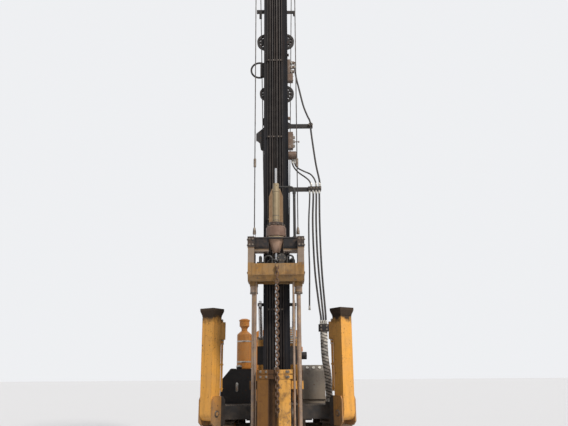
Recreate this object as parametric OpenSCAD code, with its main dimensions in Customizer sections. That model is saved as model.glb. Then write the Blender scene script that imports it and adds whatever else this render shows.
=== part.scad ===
// Compact crawler pile driver with a vertical leader and a hydraulic drop hammer.
// Millimetres, ground at Z 0, machine facing -Y, centre line at X 0.
// The origin is on the ground, under the middle of the whole machine.

/* [Undercarriage] */
// Distance between the centre lines of the two tracks
track_gauge = 1990; // [1900:10:2100]
// Width of a track shoe
shoe_w = 500; // [400:10:540]
// Distance between the idler's axle and the sprocket's axle
axle_span = 2840; // [2600:20:3200]
// Radius from an axle to the back of a shoe
track_r = 355; // [330:5:380]
// Length of one shoe along the loop
shoe_pitch = 171; // [150:1:200]
// Thickness of a shoe's plate
shoe_t = 14; // [10:1:20]
// Height of a grouser bar above its plate
grouser_h = 26; // [16:1:34]
// Height of a chain link under its shoe
link_h = 62; // [50:1:72]
// Width of the link chain
link_w = 180; // [140:5:200]
// Radius of a bottom roller
roller_r = 78; // [60:1:90]
// Distance between bottom rollers
roller_pitch = 420; // [380:10:480]
// Width of a track's side frame
side_frame_w = 230; // [210:5:260]

/* [Chassis] */
// Half width of the centre frame
chassis_half_w = 470; // [420:10:520]
// Height of the centre frame's floor above the ground
chassis_floor_z = 470; // [430:10:520]
// Height of the deck's top above the ground
deck_z = 1050; // [1000:10:1100]
// Thickness of the deck plate
deck_t = 12; // [8:1:20]
// Half width of the deck
deck_half_w = 1190; // [1100:10:1240]

/* [Body] */
// Half width of the engine hood
hood_half_w = 460; // [420:10:500]
// Height of the engine hood's top above the ground
hood_top_z = 2380; // [2200:10:2500]
// Length of the engine hood
hood_l = 1750; // [1500:10:1900]
// Thickness of the hood's panels
hood_t = 25; // [15:1:35]
// Radius of the hood's long top edges
hood_edge_r = 120; // [60:5:180]
// Thickness of the rear counterweight
weight_l = 330; // [250:10:420]
// Width of the tank beside the hood
tank_w = 585; // [520:5:600]
// Height of the tank's top above the ground
tank_top_z = 1630; // [1500:10:1700]
// Length of the tank
tank_l = 920; // [800:10:930]

/* [Stabiliser legs] */
// Distance from the machine's centre line to a leg's centre line
leg_x = 1085; // [1000:5:1110]
// Side of a leg's square tube
leg_side = 225; // [180:5:240]
// Height of the top of a folded leg's tube
leg_top_z = 2570; // [2300:10:2700]
// Height of a leg's hinge pin above the ground
leg_pin_z = 950; // [900:10:1000]
// Radius of a leg's hinge pin
leg_pin_r = 35; // [25:1:45]
// Side of a leg's square foot plate
foot_side = 283; // [260:1:320]
// Height of a leg's flared foot
foot_h = 120; // [90:5:150]
// Angle between straight ahead and the direction that a leg swings down in
leg_splay = 33; // [20:1:45]
// Height of the hinge cheeks above the pin
cheek_h = 265; // [200:5:300]

/* [Leader] */
// Width of the leader's front plate, which the hammer rides on
leader_w = 430; // [400:5:480]
// Width of the leader's box behind the front plate
leader_box_w = 330; // [290:5:350]
// Depth of the leader's box
leader_d = 440; // [380:5:500]
// Thickness of the leader's front plate
leader_plate_t = 28; // [20:1:40]
// Wall of the leader's box
leader_wall = 12; // [8:1:18]
// Height of the leader's lower end above the ground
leader_foot_z = 340; // [300:10:420]
// Height of the leader's upper end above the ground
leader_top_z = 11350; // [9500:50:12000]
// Height of the leader's tilt pin above the ground
tilt_pin_z = 900; // [850:10:980]
// Radius of the leader's tilt pin
tilt_pin_r = 45; // [35:1:55]
// Height of the pin where the tilt cylinders push the leader
stay_pin_z = 2700; // [2500:10:2900]
// Radius of the tilt cylinders' pins
stay_pin_r = 28; // [22:1:34]
// Outer radius of a tilt cylinder's barrel
stay_barrel_r = 62; // [50:1:75]
// Radius of a tilt cylinder's rod
stay_rod_r = 36; // [28:1:42]
// Radius of a head sheave
sheave_r = 180; // [150:5:200]
// Distance from the centre line to a hoist rope
rope_x = 355; // [340:5:370]
// Diameter of the hoist rope
rope_d = 18; // [12:1:22]

/* [Hammer] */
// Distance from the leader's front plate to the hammer's centre line
hammer_reach = 420; // [400:5:460]
// Width of the hammer's top frame
frame_w = 870; // [830:10:900]
// Depth of the hammer's top frame
frame_d = 460; // [420:10:480]
// Height of the top frame's tray bottom above the ground
tray_z = 3020; // [2950:10:3100]
// Height of the top frame's upper edge above the ground
frame_top_z = 3620; // [3560:10:3700]
// Height of the tray's walls
tray_h = 177; // [140:1:200]
// Width of the frame's jambs
jamb_w = 97; // [80:1:110]
// Wall of the hammer's top frame
frame_t = 30; // [20:1:40]
// Distance between the two guide columns
column_span = 694; // [660:2:720]
// Radius of a guide column
column_r = 33; // [28:1:38]
// Width of the ram
ram_w = 492; // [460:2:500]
// Depth of the ram
ram_d = 430; // [380:5:440]
// Height of the ram's lower face above the ground
ram_foot_z = 640; // [600:5:700]
// Height of the ram's upper face above the ground
ram_top_z = 1620; // [1500:10:1700]
// Distance of the ram's middle to the left of the centre line
ram_shift = 38; // [0:2:40]
// Width of the groove down the ram's front
groove_w = 138; // [100:2:150]
// Thickness of each of the ram's two collars
collar_t = 59; // [45:1:70]
// Radius of the ram's piston rod
ram_rod_r = 18; // [15:1:24]
// Height of the piston rod's top with the ram down
ram_rod_top_z = 4820; // [4700:10:4900]
// Inner radius of the pile helmet
helmet_r = 190; // [150:5:220]
// Depth of the pile helmet's socket
helmet_depth = 110; // [80:5:150]
// Pitch of the lifting chain's links
chain_pitch = 55; // [50:1:60]
// Diameter of the lifting chain's wire
chain_d = 18; // [14:1:20]
// Outer width of a chain link
chain_w = 64; // [58:1:70]

/* [Clearances] */
// Radial clearance of a pin or rod in its bore
fit_gap = 0.05; // [0.02:0.01:0.1]
// Clearance between moving pieces
run_gap = 6; // [5:0.5:10]
// Clearance of a wear pad on the plate that it slides along
slide_gap = 0.5; // [0.3:0.1:1]
// Gap of a fixed piece beside the one that it seats on
seat_gap = 0.3; // [0.2:0.05:0.5]

/* [Hidden] */
$fn = 48;

// Places along the machine, worked out from its front to its rear
axle_z = track_r + shoe_t + grouser_h;
tilt_pin_reach = 150;
leg_reach = 500;
foot_lug_l = 250;
chassis_front_y = -axle_span / 2 - 80;
chassis_rear_y = axle_span / 2 + 140;
leg_y = chassis_front_y - leg_reach;
tilt_pin_y = chassis_front_y - tilt_pin_reach;
leader_back_y = tilt_pin_y - foot_lug_l;
leader_front_y = leader_back_y - leader_d - leader_plate_t;
hammer_y = leader_front_y - hammer_reach;
hood_front_y = chassis_rear_y - hood_l;
rear_y = chassis_rear_y + weight_l;
tow_eye_l = 90;

// The chain is the foremost piece
chain_y = hammer_y - frame_d / 2 - run_gap - chain_w / 2;
front_y = chain_y - chain_w / 2;
y_shift = -(front_y + rear_y + tow_eye_l) / 2;

// Lifts a piece from the machine's layout to the part's origin
module placed() {
    translate([0, y_shift, 0]) children();
}

// Draws a piece on both sides of the machine
module both_sides() {
    children();
    mirror([1, 0, 0]) children();
}

// A block given by its lowest and highest corners
module block(low, high) {
    translate(low) cube(high - low);
}

// An outline in Y and Z, extruded along X from a place
module plate_x(x0, t) {
    translate([x0, 0, 0]) rotate([90, 0, 90]) linear_extrude(t) children();
}

// A rectangle with round corners
module round_rect(w, h, r) {
    square([w, h - 2 * r], center = true);
    square([w - 2 * r, h], center = true);
    for (x = [-1, 1], y = [-1, 1]) translate([x * (w / 2 - r), y * (h / 2 - r)]) circle(r = r);
}

// A cylinder along X between two places
module bar_x(x0, x1, y, z, r) {
    translate([x0, y, z]) rotate([0, 90, 0]) cylinder(r = r, h = x1 - x0);
}

// Track loop: points at the joints between shoes, on a path at a given radius
loop_l = 2 * axle_span + 2 * PI * track_r;
shoe_count = round(loop_l / shoe_pitch);
loop_step = loop_l / shoe_count;
end_l = PI * track_r;
chord_half = loop_step / track_r * 90 / PI;

function turned(s) = s / track_r * 180 / PI;
function loop_point(s, r) =
    s < axle_span ? [s - axle_span / 2, -r]
    : s < axle_span + end_l ?
        let (a = turned(s - axle_span)) [axle_span / 2 + r * sin(a), -r * cos(a)]
    : s < 2 * axle_span + end_l ? [axle_span / 2 - (s - axle_span - end_l), r]
    : let (a = turned(s - 2 * axle_span - end_l)) [-axle_span / 2 - r * sin(a), r * cos(a)];

module shoe_profile(l) {
    edge = l * 0.47;
    bar = l * 0.26;
    polygon([
        [-edge, -2], [edge, -2], [edge, shoe_t], [bar + 9, shoe_t],
        [bar + 5, shoe_t + grouser_h], [bar - 7, shoe_t + grouser_h], [bar - 11, shoe_t],
        [-edge, shoe_t]
    ]);
}

// The loop's own plane is Y and Z; it is extruded along X
module across(w) {
    rotate([90, 0, 90]) translate([0, 0, -w / 2]) linear_extrude(w) children();
}

module track_loop() {
    translate([0, 0, axle_z]) {
        across(link_w) difference() {
            polygon([for (i = [0:shoe_count - 1]) loop_point(i * loop_step, track_r)]);
            polygon([for (i = [0:shoe_count - 1]) loop_point(i * loop_step, track_r - link_h)]);
        }
        across(shoe_w) for (i = [0:shoe_count - 1]) {
            a = loop_point(i * loop_step, track_r);
            b = loop_point((i + 1) % shoe_count * loop_step, track_r);
            along = b - a;
            translate((a + b) / 2)
                rotate(atan2(along[1], along[0]))
                    mirror([0, 1]) shoe_profile(norm(along));
        }
    }
}

module track_left() {
    color("dimgray") placed() translate([-track_gauge / 2, 0, 0]) track_loop();
}

module track_right() {
    color("dimgray") placed() translate([track_gauge / 2, 0, 0]) track_loop();
}

// The wheels inside a track touch the links' inner faces
wheel_r = (track_r - link_h) * cos(chord_half) - seat_gap;
roller_z = axle_z - track_r + link_h + roller_r + seat_gap;
top_roller_z = axle_z + track_r - link_h - roller_r - seat_gap;
roller_w = link_w - 20;
fork_t = (side_frame_w - roller_w) / 2;
roller_count = 5;
top_roller_y = 620;
sprocket_y = axle_span / 2;
idler_y = -axle_span / 2;
beam_low = axle_z - 105;
beam_high = axle_z + 95;

module bottom_roller_row() {
    for (i = [0:roller_count - 1])
        translate([0, (i - (roller_count - 1) / 2) * roller_pitch, 0]) children();
}

module roller() {
    rotate([0, 90, 0]) {
        translate([0, 0, -roller_w / 2]) difference() {
            cylinder(r = roller_r, h = roller_w);
            translate([0, 0, roller_w / 2 - 22]) difference() {
                cylinder(r = roller_r + 1, h = 44);
                cylinder(r = roller_r - 16, h = 44);
            }
        }
    }
}

module sprocket() {
    tooth_count = 21;
    hub_out = side_frame_w / 2 + 60;
    rotate([0, 90, 0]) {
        translate([0, 0, -22]) linear_extrude(44) difference() {
            circle(r = wheel_r);
            for (i = [0:tooth_count - 1]) rotate(i * 360 / tooth_count)
                translate([wheel_r + 2, 0]) circle(r = 24, $fn = 10);
        }
        translate([0, 0, -side_frame_w / 2 + fork_t]) cylinder(r = 150, h = side_frame_w / 2 - fork_t);
        cylinder(r = 175, h = 75);
        cylinder(r = 120, h = hub_out);
    }
}

// Idler: a wide rim and a hub, hollowed on both sides of its web
module idler() {
    rim_t = 45;
    hub_r = 75;
    web_half = 45;
    rotate([0, 90, 0]) difference() {
        translate([0, 0, -roller_w / 2]) cylinder(r = wheel_r, h = roller_w);
        for (z = [-roller_w / 2 - 1, web_half]) translate([0, 0, z]) difference() {
            cylinder(r = wheel_r - rim_t, h = roller_w / 2 - web_half + 1);
            cylinder(r = hub_r, h = roller_w / 2 - web_half + 1);
        }
    }
}

module track_wheels() {
    color("black") placed() both_sides() translate([track_gauge / 2, 0, 0]) {
        bottom_roller_row() translate([0, 0, roller_z]) roller();
        for (y = [-top_roller_y, top_roller_y]) translate([0, y, top_roller_z]) roller();
        translate([0, sprocket_y, axle_z]) sprocket();
        translate([0, idler_y, axle_z]) idler();
    }
}

// Side frame: a box beam on legs that fork over the rollers, open at both ends for the wheels
module side_frame() {
    beam_front = idler_y + wheel_r + 30;
    beam_rear = sprocket_y - wheel_r - 30;
    fork_low = roller_z - 45;
    translate([track_gauge / 2, 0, 0]) {
        block([-side_frame_w / 2, beam_front, beam_low], [side_frame_w / 2, beam_rear, beam_high]);
        for (x = [-side_frame_w / 2, side_frame_w / 2 - fork_t]) {
            block([x, -roller_pitch * 2 - 90, fork_low], [x + fork_t, roller_pitch * 2 + 90, beam_low]);
            for (y = [-top_roller_y, top_roller_y])
                block([x, y - 45, beam_high], [x + fork_t, y + 45, top_roller_z + 40]);
            block([x, idler_y - 60, axle_z - 55], [x + fork_t, beam_front, axle_z + 55]);
        }
        // Final drive's mounting plate and motor housing on the inner side of the sprocket
        translate([-side_frame_w / 2, sprocket_y, axle_z]) rotate([0, 90, 0])
            cylinder(r = 165, h = fork_t);
        block([-side_frame_w / 2, beam_rear, axle_z - 100],
            [-side_frame_w / 2 + fork_t, sprocket_y, axle_z + 90]);
    }
}

module track_frames() {
    color("dimgray") placed() both_sides() side_frame();
}

// Centre frame: a closed box between the tracks, with ears and clevises for the leader
beam_y = 800;
beam_half = 120;
leg_dir = 90 - leg_splay;
cheek_gap = run_gap / 2;
cheek_t = 28;
arm_low_z = 2 * axle_z + 40;
clevis_w = 46;
arm_front_y = chassis_front_y - 120;
gland_x = 872;
gland_y = chassis_front_y - 82;
gland_half = 66;
gland_top_z = 1100;
ear_x = 232;
stay_x = 290;
stay_base_y = -700;
stay_base_z = 1290;
ear_t = 26;

module cheek_outline() {
    back = 215;
    front = 105;
    low = 190;
    corner = 60;
    polygon([
        [-back, -low], [front - corner, -low], [front, -low + corner], [front, cheek_h - corner],
        [front - corner / 2, cheek_h], [-back + corner, cheek_h], [-back, cheek_h - corner]
    ]);
}

// Cheeks on both sides of a leg's hinge end, drawn with the leg swinging towards +X
module leg_hinge_bracket() {
    inner = leg_side / 2 + cheek_gap;
    for (y = [inner + cheek_t, -inner])
        translate([0, y, leg_pin_z]) rotate([90, 0, 0]) linear_extrude(cheek_t) cheek_outline();
    block([-190, -inner - 1, leg_pin_z - 190], [-leg_side / 2 - 25, inner + 1, leg_pin_z + cheek_h - 140]);
}

module leg_pin() {
    reach = leg_side / 2 + cheek_gap + cheek_t + 14;
    translate([0, -reach, leg_pin_z]) rotate([-90, 0, 0]) cylinder(r = leg_pin_r, h = 2 * reach);
}

module tilt_ear() {
    plate_x(ear_x, 40) difference() {
        union() {
            polygon([
                [chassis_front_y + 1, tilt_pin_z - 130], [chassis_front_y + 1, tilt_pin_z + 130],
                [tilt_pin_y, tilt_pin_z + 75], [tilt_pin_y, tilt_pin_z - 75]
            ]);
            translate([tilt_pin_y, tilt_pin_z]) circle(r = 85);
        }
        translate([tilt_pin_y, tilt_pin_z]) circle(r = tilt_pin_r + fit_gap);
    }
}

// Clevis and pin at a tilt cylinder's lower end, round its own X place
module stay_clevis() {
    ear_in = clevis_w / 2 + cheek_gap;
    for (x = [ear_in, -ear_in - ear_t]) plate_x(x, ear_t) {
        polygon([
            [stay_base_y - 75, deck_z - deck_t - 20], [stay_base_y - 50, stay_base_z],
            [stay_base_y + 50, stay_base_z], [stay_base_y + 75, deck_z - deck_t - 20]
        ]);
        translate([stay_base_y, stay_base_z]) circle(r = 58);
    }
    bar_x(-ear_in - ear_t - 8, ear_in + ear_t + 8, stay_base_y, stay_base_z, stay_pin_r);
}

module base_frame() {
    color("dimgray") placed() {
        // The closed chassis box
        block([-chassis_half_w, chassis_front_y, chassis_floor_z],
            [chassis_half_w, chassis_rear_y, deck_z - deck_t]);
        both_sides() {
            tilt_ear();
            translate([stay_x, 0, 0]) stay_clevis();
            // Lashing eye at the rear
            difference() {
                block([300, chassis_rear_y - 1, 560], [340, rear_y + tow_eye_l, 680]);
                bar_x(290, 350, rear_y + tow_eye_l - 50, 620, 25);
            }
        }
    }
}

// Four closed beams between the centre frame and the side frames
module cross_beams() {
    track_inner = (track_gauge - side_frame_w) / 2;
    color("dimgray") placed() both_sides() for (y = [-beam_y, beam_y])
        block([chassis_half_w, y - beam_half, beam_low + 5], [track_inner, y + beam_half, axle_z + 175]);
}

// Arms that reach out over the tracks and forward to the legs' hinges
module front_arms() {
    color("dimgray") placed() {
        both_sides() {
            block([330, arm_front_y, arm_low_z], [leg_x + 90, chassis_front_y, deck_z - deck_t]);
            block([leg_x - 190, leg_y + leg_side / sqrt(2) + 2 * run_gap, arm_low_z],
                [leg_x + 40, arm_front_y + 1, deck_z - deck_t]);
            translate([leg_x, leg_y, 0]) rotate(-leg_dir) {
                leg_hinge_bracket();
                leg_pin();
            }
        }
        // Gland that the hose bundle goes down into
        block([gland_x - gland_half, gland_y - gland_half, deck_z - deck_t - 1],
            [gland_x + gland_half, gland_y + gland_half, gland_top_z]);
    }
}

module deck() {
    clevis_half = clevis_w / 2 + cheek_gap + ear_t + 10;
    color("dimgray") placed() difference() {
        block([-deck_half_w, chassis_front_y - 40, deck_z - deck_t], [deck_half_w, chassis_rear_y, deck_z]);
        both_sides() {
            block([stay_x - clevis_half, stay_base_y - 85, deck_z - 40],
                [stay_x + clevis_half, stay_base_y + 85, deck_z + 1]);
            // The ears of the tilt pin pass up through the front edge
            block([ear_x - 7, chassis_front_y - 50, deck_z - 40],
                [ear_x + 48, chassis_front_y + 5, deck_z + 1]);
        }
        block([gland_x - gland_half - seat_gap, gland_y - gland_half, deck_z - 40],
            [gland_x + gland_half + seat_gap, gland_y + gland_half + seat_gap, deck_z + 1]);
    }
}

weight_low_z = 560;
weight_wing_z = 2 * axle_z + 60;
weight_top_z = 1450;

module counterweight() {
    half_w = 930;
    inner_half_w = track_gauge / 2 - shoe_w / 2 - 25;
    color("dimgray") placed() difference() {
        union() {
            block([-half_w, chassis_rear_y + seat_gap, weight_wing_z], [half_w, rear_y, weight_top_z]);
            block([-inner_half_w, chassis_rear_y + seat_gap, weight_low_z],
                [inner_half_w, rear_y, weight_wing_z + 1]);
        }
        both_sides() {
            block([290, chassis_rear_y - 1, weight_low_z - 10], [350, rear_y + 1, 690]);
            translate([half_w, rear_y, 0]) rotate(45) cube([180, 180, 4000], center = true);
        }
    }
}

// Hood: a hollow shell with door openings in both sides and a grille opening at the rear
door_l = 1250;
door_low_z = deck_z + 90;
door_high_z = hood_top_z - hood_edge_r - 70;
door_y = hood_front_y + 260;
door_gap = 6;
door_t = hood_t;
hinge_r = 13;
hinge_pin_r = 6;
hinge_h = 45;
hinge_x = hood_half_w + hinge_r + 2;
hinge_y = door_y - 6;
hinge_z = [door_low_z + 120, door_high_z - 220];
grille_half_w = hood_half_w - 110;
grille_low_z = deck_z + 110;
grille_high_z = hood_top_z - 200;

module hood_outline(half_w, top, r) {
    translate([-half_w, deck_z]) square([2 * half_w, top - r - deck_z]);
    translate([-half_w + r, deck_z]) square([2 * (half_w - r), top - deck_z]);
    for (s = [-1, 1]) translate([s * (half_w - r), top - r]) circle(r = r);
}

module hood_prism(y0, y1, half_w, top, r) {
    translate([0, y1, 0]) rotate([90, 0, 0]) linear_extrude(y1 - y0) hood_outline(half_w, top, r);
}

module engine_hood() {
    color("goldenrod") placed() difference() {
        hood_prism(hood_front_y, chassis_rear_y, hood_half_w, hood_top_z, hood_edge_r);
        translate([0, 0, -1]) hood_prism(hood_front_y + hood_t, chassis_rear_y - hood_t,
            hood_half_w - hood_t, hood_top_z - hood_t, hood_edge_r - hood_t);
        block([-hood_half_w - 1, door_y, door_low_z], [hood_half_w + 1, door_y + door_l, door_high_z]);
        block([-grille_half_w, chassis_rear_y - hood_t - 1, grille_low_z],
            [grille_half_w, chassis_rear_y + 1, grille_high_z]);
        // Louvre slots across the front of the hood
        for (z = [hood_top_z - 420:70:hood_top_z - 120])
            block([-300, hood_front_y - 1, z], [300, hood_front_y + hood_t + 1, z + 28]);
    }
    color("goldenrod") placed() both_sides() for (z = hinge_z) {
        block([hood_half_w - 1, door_y - 70, z], [hinge_x + hinge_r, hinge_y, z + hinge_h]);
        translate([hinge_x, hinge_y, z]) cylinder(r = hinge_r, h = hinge_h);
        translate([hinge_x, hinge_y, z]) cylinder(r = hinge_pin_r, h = 2 * hinge_h + 8);
    }
}

// Door: one thick panel with louvres, hinged on its front edge
module hood_door(side) {
    slot_z = [for (i = [0:8]) door_low_z + 500 + i * 55];
    placed() mirror([side > 0 ? 0 : 1, 0, 0]) difference() {
        union() {
            block([hood_half_w - door_t, door_y + door_gap, door_low_z + door_gap],
                [hood_half_w, door_y + door_l - door_gap, door_high_z - door_gap]);
            for (z = hinge_z) translate([0, 0, z + hinge_h + seat_gap]) {
                block([hood_half_w + 2, hinge_y, 0], [hinge_x + 4, door_y + 90, hinge_h]);
                block([hood_half_w - 1, door_y + door_gap + 10, 0], [hinge_x, door_y + 90, hinge_h]);
                translate([hinge_x, hinge_y, 0]) cylinder(r = hinge_r, h = hinge_h);
            }
        }
        for (z = slot_z) block([hood_half_w - door_t - 1, door_y + 180, z],
            [hood_half_w + 1, door_y + door_l - 180, z + 22]);
        for (z = hinge_z) translate([hinge_x, hinge_y, z])
            cylinder(r = hinge_pin_r + fit_gap, h = 3 * hinge_h);
    }
}

module hood_door_left() {
    color("goldenrod") hood_door(-1);
}

module hood_door_right() {
    color("goldenrod") hood_door(1);
}

module engine() {
    front_gap = 350;
    rear_gap = 330;
    side_gap = 150;
    half_w = hood_half_w - side_gap;
    color("dimgray") placed() block([-half_w, hood_front_y + front_gap, deck_z],
        [half_w, chassis_rear_y - rear_gap, deck_z + (hood_top_z - deck_z) * 0.68]);
}

module rear_grille() {
    color("black") placed() difference() {
        block([-grille_half_w + seat_gap, chassis_rear_y - hood_t, grille_low_z + seat_gap],
            [grille_half_w - seat_gap, chassis_rear_y - 4, grille_high_z - seat_gap]);
        for (z = [grille_low_z + 50:60:grille_high_z - 60])
            block([-grille_half_w + 40, chassis_rear_y - hood_t - 1, z],
                [grille_half_w - 40, chassis_rear_y, z + 36]);
    }
}

// Air cleaner on the tank: a round can, a cone and a bowl with a cap
cleaner_x = 652;
cleaner_y = hood_front_y - 170;

module air_cleaner() {
    can_r = 140;
    can_h = 640;
    neck_r = 58;
    bowl_r = 96;
    seat_z = tank_top_z + tank_lid_t;
    color("darkorange") placed() translate([-cleaner_x, cleaner_y, seat_z]) rotate_extrude() polygon([
        [0, 0], [can_r - 12, 0], [can_r, 25], [can_r, can_h], [can_r - 20, can_h + 25],
        [neck_r, can_h + 75], [neck_r, can_h + 115], [bowl_r - 16, can_h + 150], [bowl_r, can_h + 160],
        [bowl_r, can_h + 255], [bowl_r + 10, can_h + 262], [bowl_r + 10, can_h + 282],
        [neck_r, can_h + 306], [0, can_h + 306]
    ]);
}

module exhaust() {
    color("saddlebrown") placed() translate([-180, hood_front_y + 500, 0]) {
        difference() {
            union() {
                translate([0, 0, hood_top_z + seat_gap]) cylinder(r = 50, h = 360);
                translate([0, 0, hood_top_z + seat_gap]) cylinder(r = 85, h = 14);
            }
            translate([0, 0, hood_top_z + 40]) cylinder(r = 43, h = 400);
        }
    }
}

tank_gap = 20;
tank_front_y = hood_front_y - tank_gap - tank_l;
tank_lid_t = 10;
tank_outer_x = hood_half_w + tank_w - 30;

module hydraulic_tank() {
    corner_w = 165;
    corner_h = 195;
    inner_x = hood_half_w - 30 + seat_gap;
    rear_y = tank_front_y + tank_l;
    color("black") placed() {
        translate([0, rear_y, 0]) rotate([90, 0, 0]) linear_extrude(tank_l) polygon([
            [-tank_outer_x, deck_z], [-inner_x, deck_z], [-inner_x, tank_top_z],
            [-tank_outer_x + corner_w, tank_top_z], [-tank_outer_x, tank_top_z - corner_h]
        ]);
        // Lid with a small overhang and a filler cap
        block([-tank_outer_x + corner_w, tank_front_y - 12, tank_top_z - 1],
            [-inner_x - 5, rear_y - 8, tank_top_z + tank_lid_t]);
        translate([-tank_outer_x + corner_w + 150, tank_front_y + 150, tank_top_z])
            cylinder(r = 48, h = tank_lid_t + 32);
    }
}

seat_x = 680;
seat_reach = 290;
seat_y = hood_front_y - seat_reach;

module operator_seat() {
    w = 470;
    l = 440;
    pedestal_h = 190;
    pan_h = 30;
    cushion_h = 95;
    rail_z = 300;
    arm_z = 480;
    arm_l = 300;
    back_profile = [[150, 300], [225, 300], [285, 636], [262, 645], [236, 640], [165, 340]];
    color("gray") placed() translate([seat_x, seat_y, deck_z]) {
        block([-120, -100, 0], [120, 100, pedestal_h]);
        translate([0, 0, pedestal_h - 1]) linear_extrude(pan_h) round_rect(w - 60, l - 60, 40);
        translate([0, 0, pedestal_h + pan_h - 2]) linear_extrude(cushion_h) round_rect(w, l, 70);
        plate_x(-w / 2 + 15, w - 30) polygon(back_profile);
        both_sides() {
            block([w / 2 + 8, 60, rail_z], [w / 2 + 38, 110, arm_z]);
            block([w / 2 - 14, 70, rail_z], [w / 2 + 10, 105, rail_z + 30]);
            block([w / 2, -arm_l / 2, arm_z - 1], [w / 2 + 46, arm_l / 2, arm_z + 30]);
        }
    }
}

module control_console() {
    x0 = 440;
    x1 = 840;
    face_y = 290;
    shelf_z = 400;
    high = 650;
    lever_h = 110;
    lever_pitch = 50;
    color("gray") placed() translate([0, tank_front_y, deck_z]) {
        plate_x(x0, x1 - x0) polygon([
            [30, 0], [face_y, 0], [face_y, high - 40], [face_y - 40, high], [75, high], [0, high - 95],
            [0, 70], [30, 60]
        ]);
        // Lever bank on the operator's side
        block([x0 + 60, face_y - 1, shelf_z], [x1 - 60, face_y + 80, shelf_z + 30]);
        for (x = [x0 + 100:lever_pitch:x1 - 100]) translate([x, face_y + 40, shelf_z + 29]) {
            cylinder(r = 8, h = lever_h);
            translate([0, 0, lever_h - 10]) cylinder(r = 15, h = 30);
        }
    }
}

// Stabiliser leg: a square tube with a flared foot that swings down diagonally
module leg(side) {
    half = leg_side / 2;
    wall = 12;
    flare_h = foot_h * 0.7;
    placed() translate([side * leg_x, leg_y, 0]) rotate(side > 0 ? -leg_dir : 180 + leg_dir) {
        difference() {
            union() {
                block([-half, -half, leg_pin_z], [half, half, leg_top_z]);
                translate([0, half, leg_pin_z]) rotate([90, 0, 0]) cylinder(r = half, h = leg_side);
                translate([0, 0, leg_top_z]) hull() {
                    block([-half, -half, -flare_h], [half, half, 1 - flare_h]);
                    block([-foot_side / 2, -foot_side / 2, 0], [foot_side / 2, foot_side / 2, 1]);
                }
                block([-foot_side / 2, -foot_side / 2, leg_top_z],
                    [foot_side / 2, foot_side / 2, leg_top_z + foot_h * 0.35]);
            }
            translate([0, 0, leg_pin_z]) rotate([90, 0, 0])
                cylinder(r = leg_pin_r + fit_gap, h = leg_side + 2, center = true);
            block([-half + wall, -half + wall, leg_pin_z + 200], [half - wall, half - wall, leg_top_z - 20]);
        }
        mirror([0, side > 0 ? 0 : 1, 0]) leg_valve();
    }
}

// Holding valve, its pipe and their clips on a leg's rear face, next to the machine
module leg_valve() {
    face = -leg_side / 2;
    valve_low = leg_top_z - 460;
    valve_high = leg_top_z - 170;
    pipe_low = leg_pin_z + 330;
    translate([0, face, 0]) {
        block([face - 118, 4, valve_low], [face + 1, 74, valve_high]);
        translate([face - 60, 39, valve_high - 1]) cylinder(r = 20, h = 46);
        translate([face - 80, 39, valve_low - 60]) cylinder(r = 25, h = 61);
        translate([face - 80, 39, pipe_low]) cylinder(r = 17, h = valve_low - pipe_low);
        for (z = [pipe_low + 30, (pipe_low + valve_low) / 2])
            block([face - 104, 24, z], [face + 1, 54, z + 26]);
    }
}

module leg_left() {
    color("goldenrod") leg(-1);
}

module leg_right() {
    color("goldenrod") leg(1);
}

// Leader: a hollow box with a wider front plate for the hammer's claws
module leader() {
    half = leader_box_w / 2;
    color("dimgray") placed() translate([0, 0, leader_foot_z])
        linear_extrude(leader_top_z - leader_foot_z) {
            translate([-leader_w / 2, leader_front_y]) square([leader_w, leader_plate_t]);
            difference() {
                translate([-half, leader_back_y - leader_d]) square([leader_box_w, leader_d]);
                translate([-half + leader_wall, leader_back_y - leader_d + leader_wall])
                    square([leader_box_w - 2 * leader_wall, leader_d - 2 * leader_wall]);
            }
        }
}

// Lower brackets with the tilt pin and the tilt cylinders' pin
foot_lug_x = ear_x - cheek_gap * 2 - 40;
stay_pin_y = leader_back_y + 110;

module leader_foot() {
    lug_t = 40;
    side_z = 260;
    color("dimgray") placed() {
        both_sides() {
            block([leader_box_w / 2 + seat_gap, leader_back_y - 200, tilt_pin_z - side_z],
                [foot_lug_x + 20, leader_back_y + 60, tilt_pin_z + side_z]);
            plate_x(foot_lug_x, lug_t) {
                polygon([
                    [leader_back_y + seat_gap, tilt_pin_z - side_z],
                    [leader_back_y + seat_gap, tilt_pin_z + side_z],
                    [leader_back_y + lug_t, tilt_pin_z + side_z], [tilt_pin_y, tilt_pin_z + 88],
                    [tilt_pin_y, tilt_pin_z - 88], [leader_back_y + lug_t, tilt_pin_z - side_z]
                ]);
                translate([tilt_pin_y, tilt_pin_z]) circle(r = 98);
            }
        }
        block([-foot_lug_x - lug_t, leader_back_y + seat_gap, tilt_pin_z - side_z],
            [foot_lug_x + lug_t, leader_back_y + lug_t + 1, tilt_pin_z + side_z]);
        bar_x(-ear_x - 52, ear_x + 52, tilt_pin_y, tilt_pin_z, tilt_pin_r);
        // Bracket behind the leader with the pin that the tilt cylinders push
        plate_x(-leader_box_w / 2, leader_box_w) {
            polygon([
                [leader_back_y + seat_gap, stay_pin_z - 190], [leader_back_y + seat_gap, stay_pin_z + 190],
                [leader_back_y + 25, stay_pin_z + 190], [stay_pin_y, stay_pin_z + 58],
                [stay_pin_y, stay_pin_z - 58], [leader_back_y + 25, stay_pin_z - 190]
            ]);
            translate([stay_pin_y, stay_pin_z]) circle(r = 66);
        }
        bar_x(-stay_x - clevis_w / 2 - 20, stay_x + clevis_w / 2 + 20, stay_pin_y, stay_pin_z, stay_pin_r);
    }
}

// Tilt cylinders lie between the deck's ears and the leader's cross pin
stay_dy = stay_pin_y - stay_base_y;
stay_dz = stay_pin_z - stay_base_z;
stay_l = norm([stay_dy, stay_dz]);
stay_lean = atan2(-stay_dy, stay_dz);
barrel_l = stay_l * 0.62;
stay_eye_r = 62;

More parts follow.
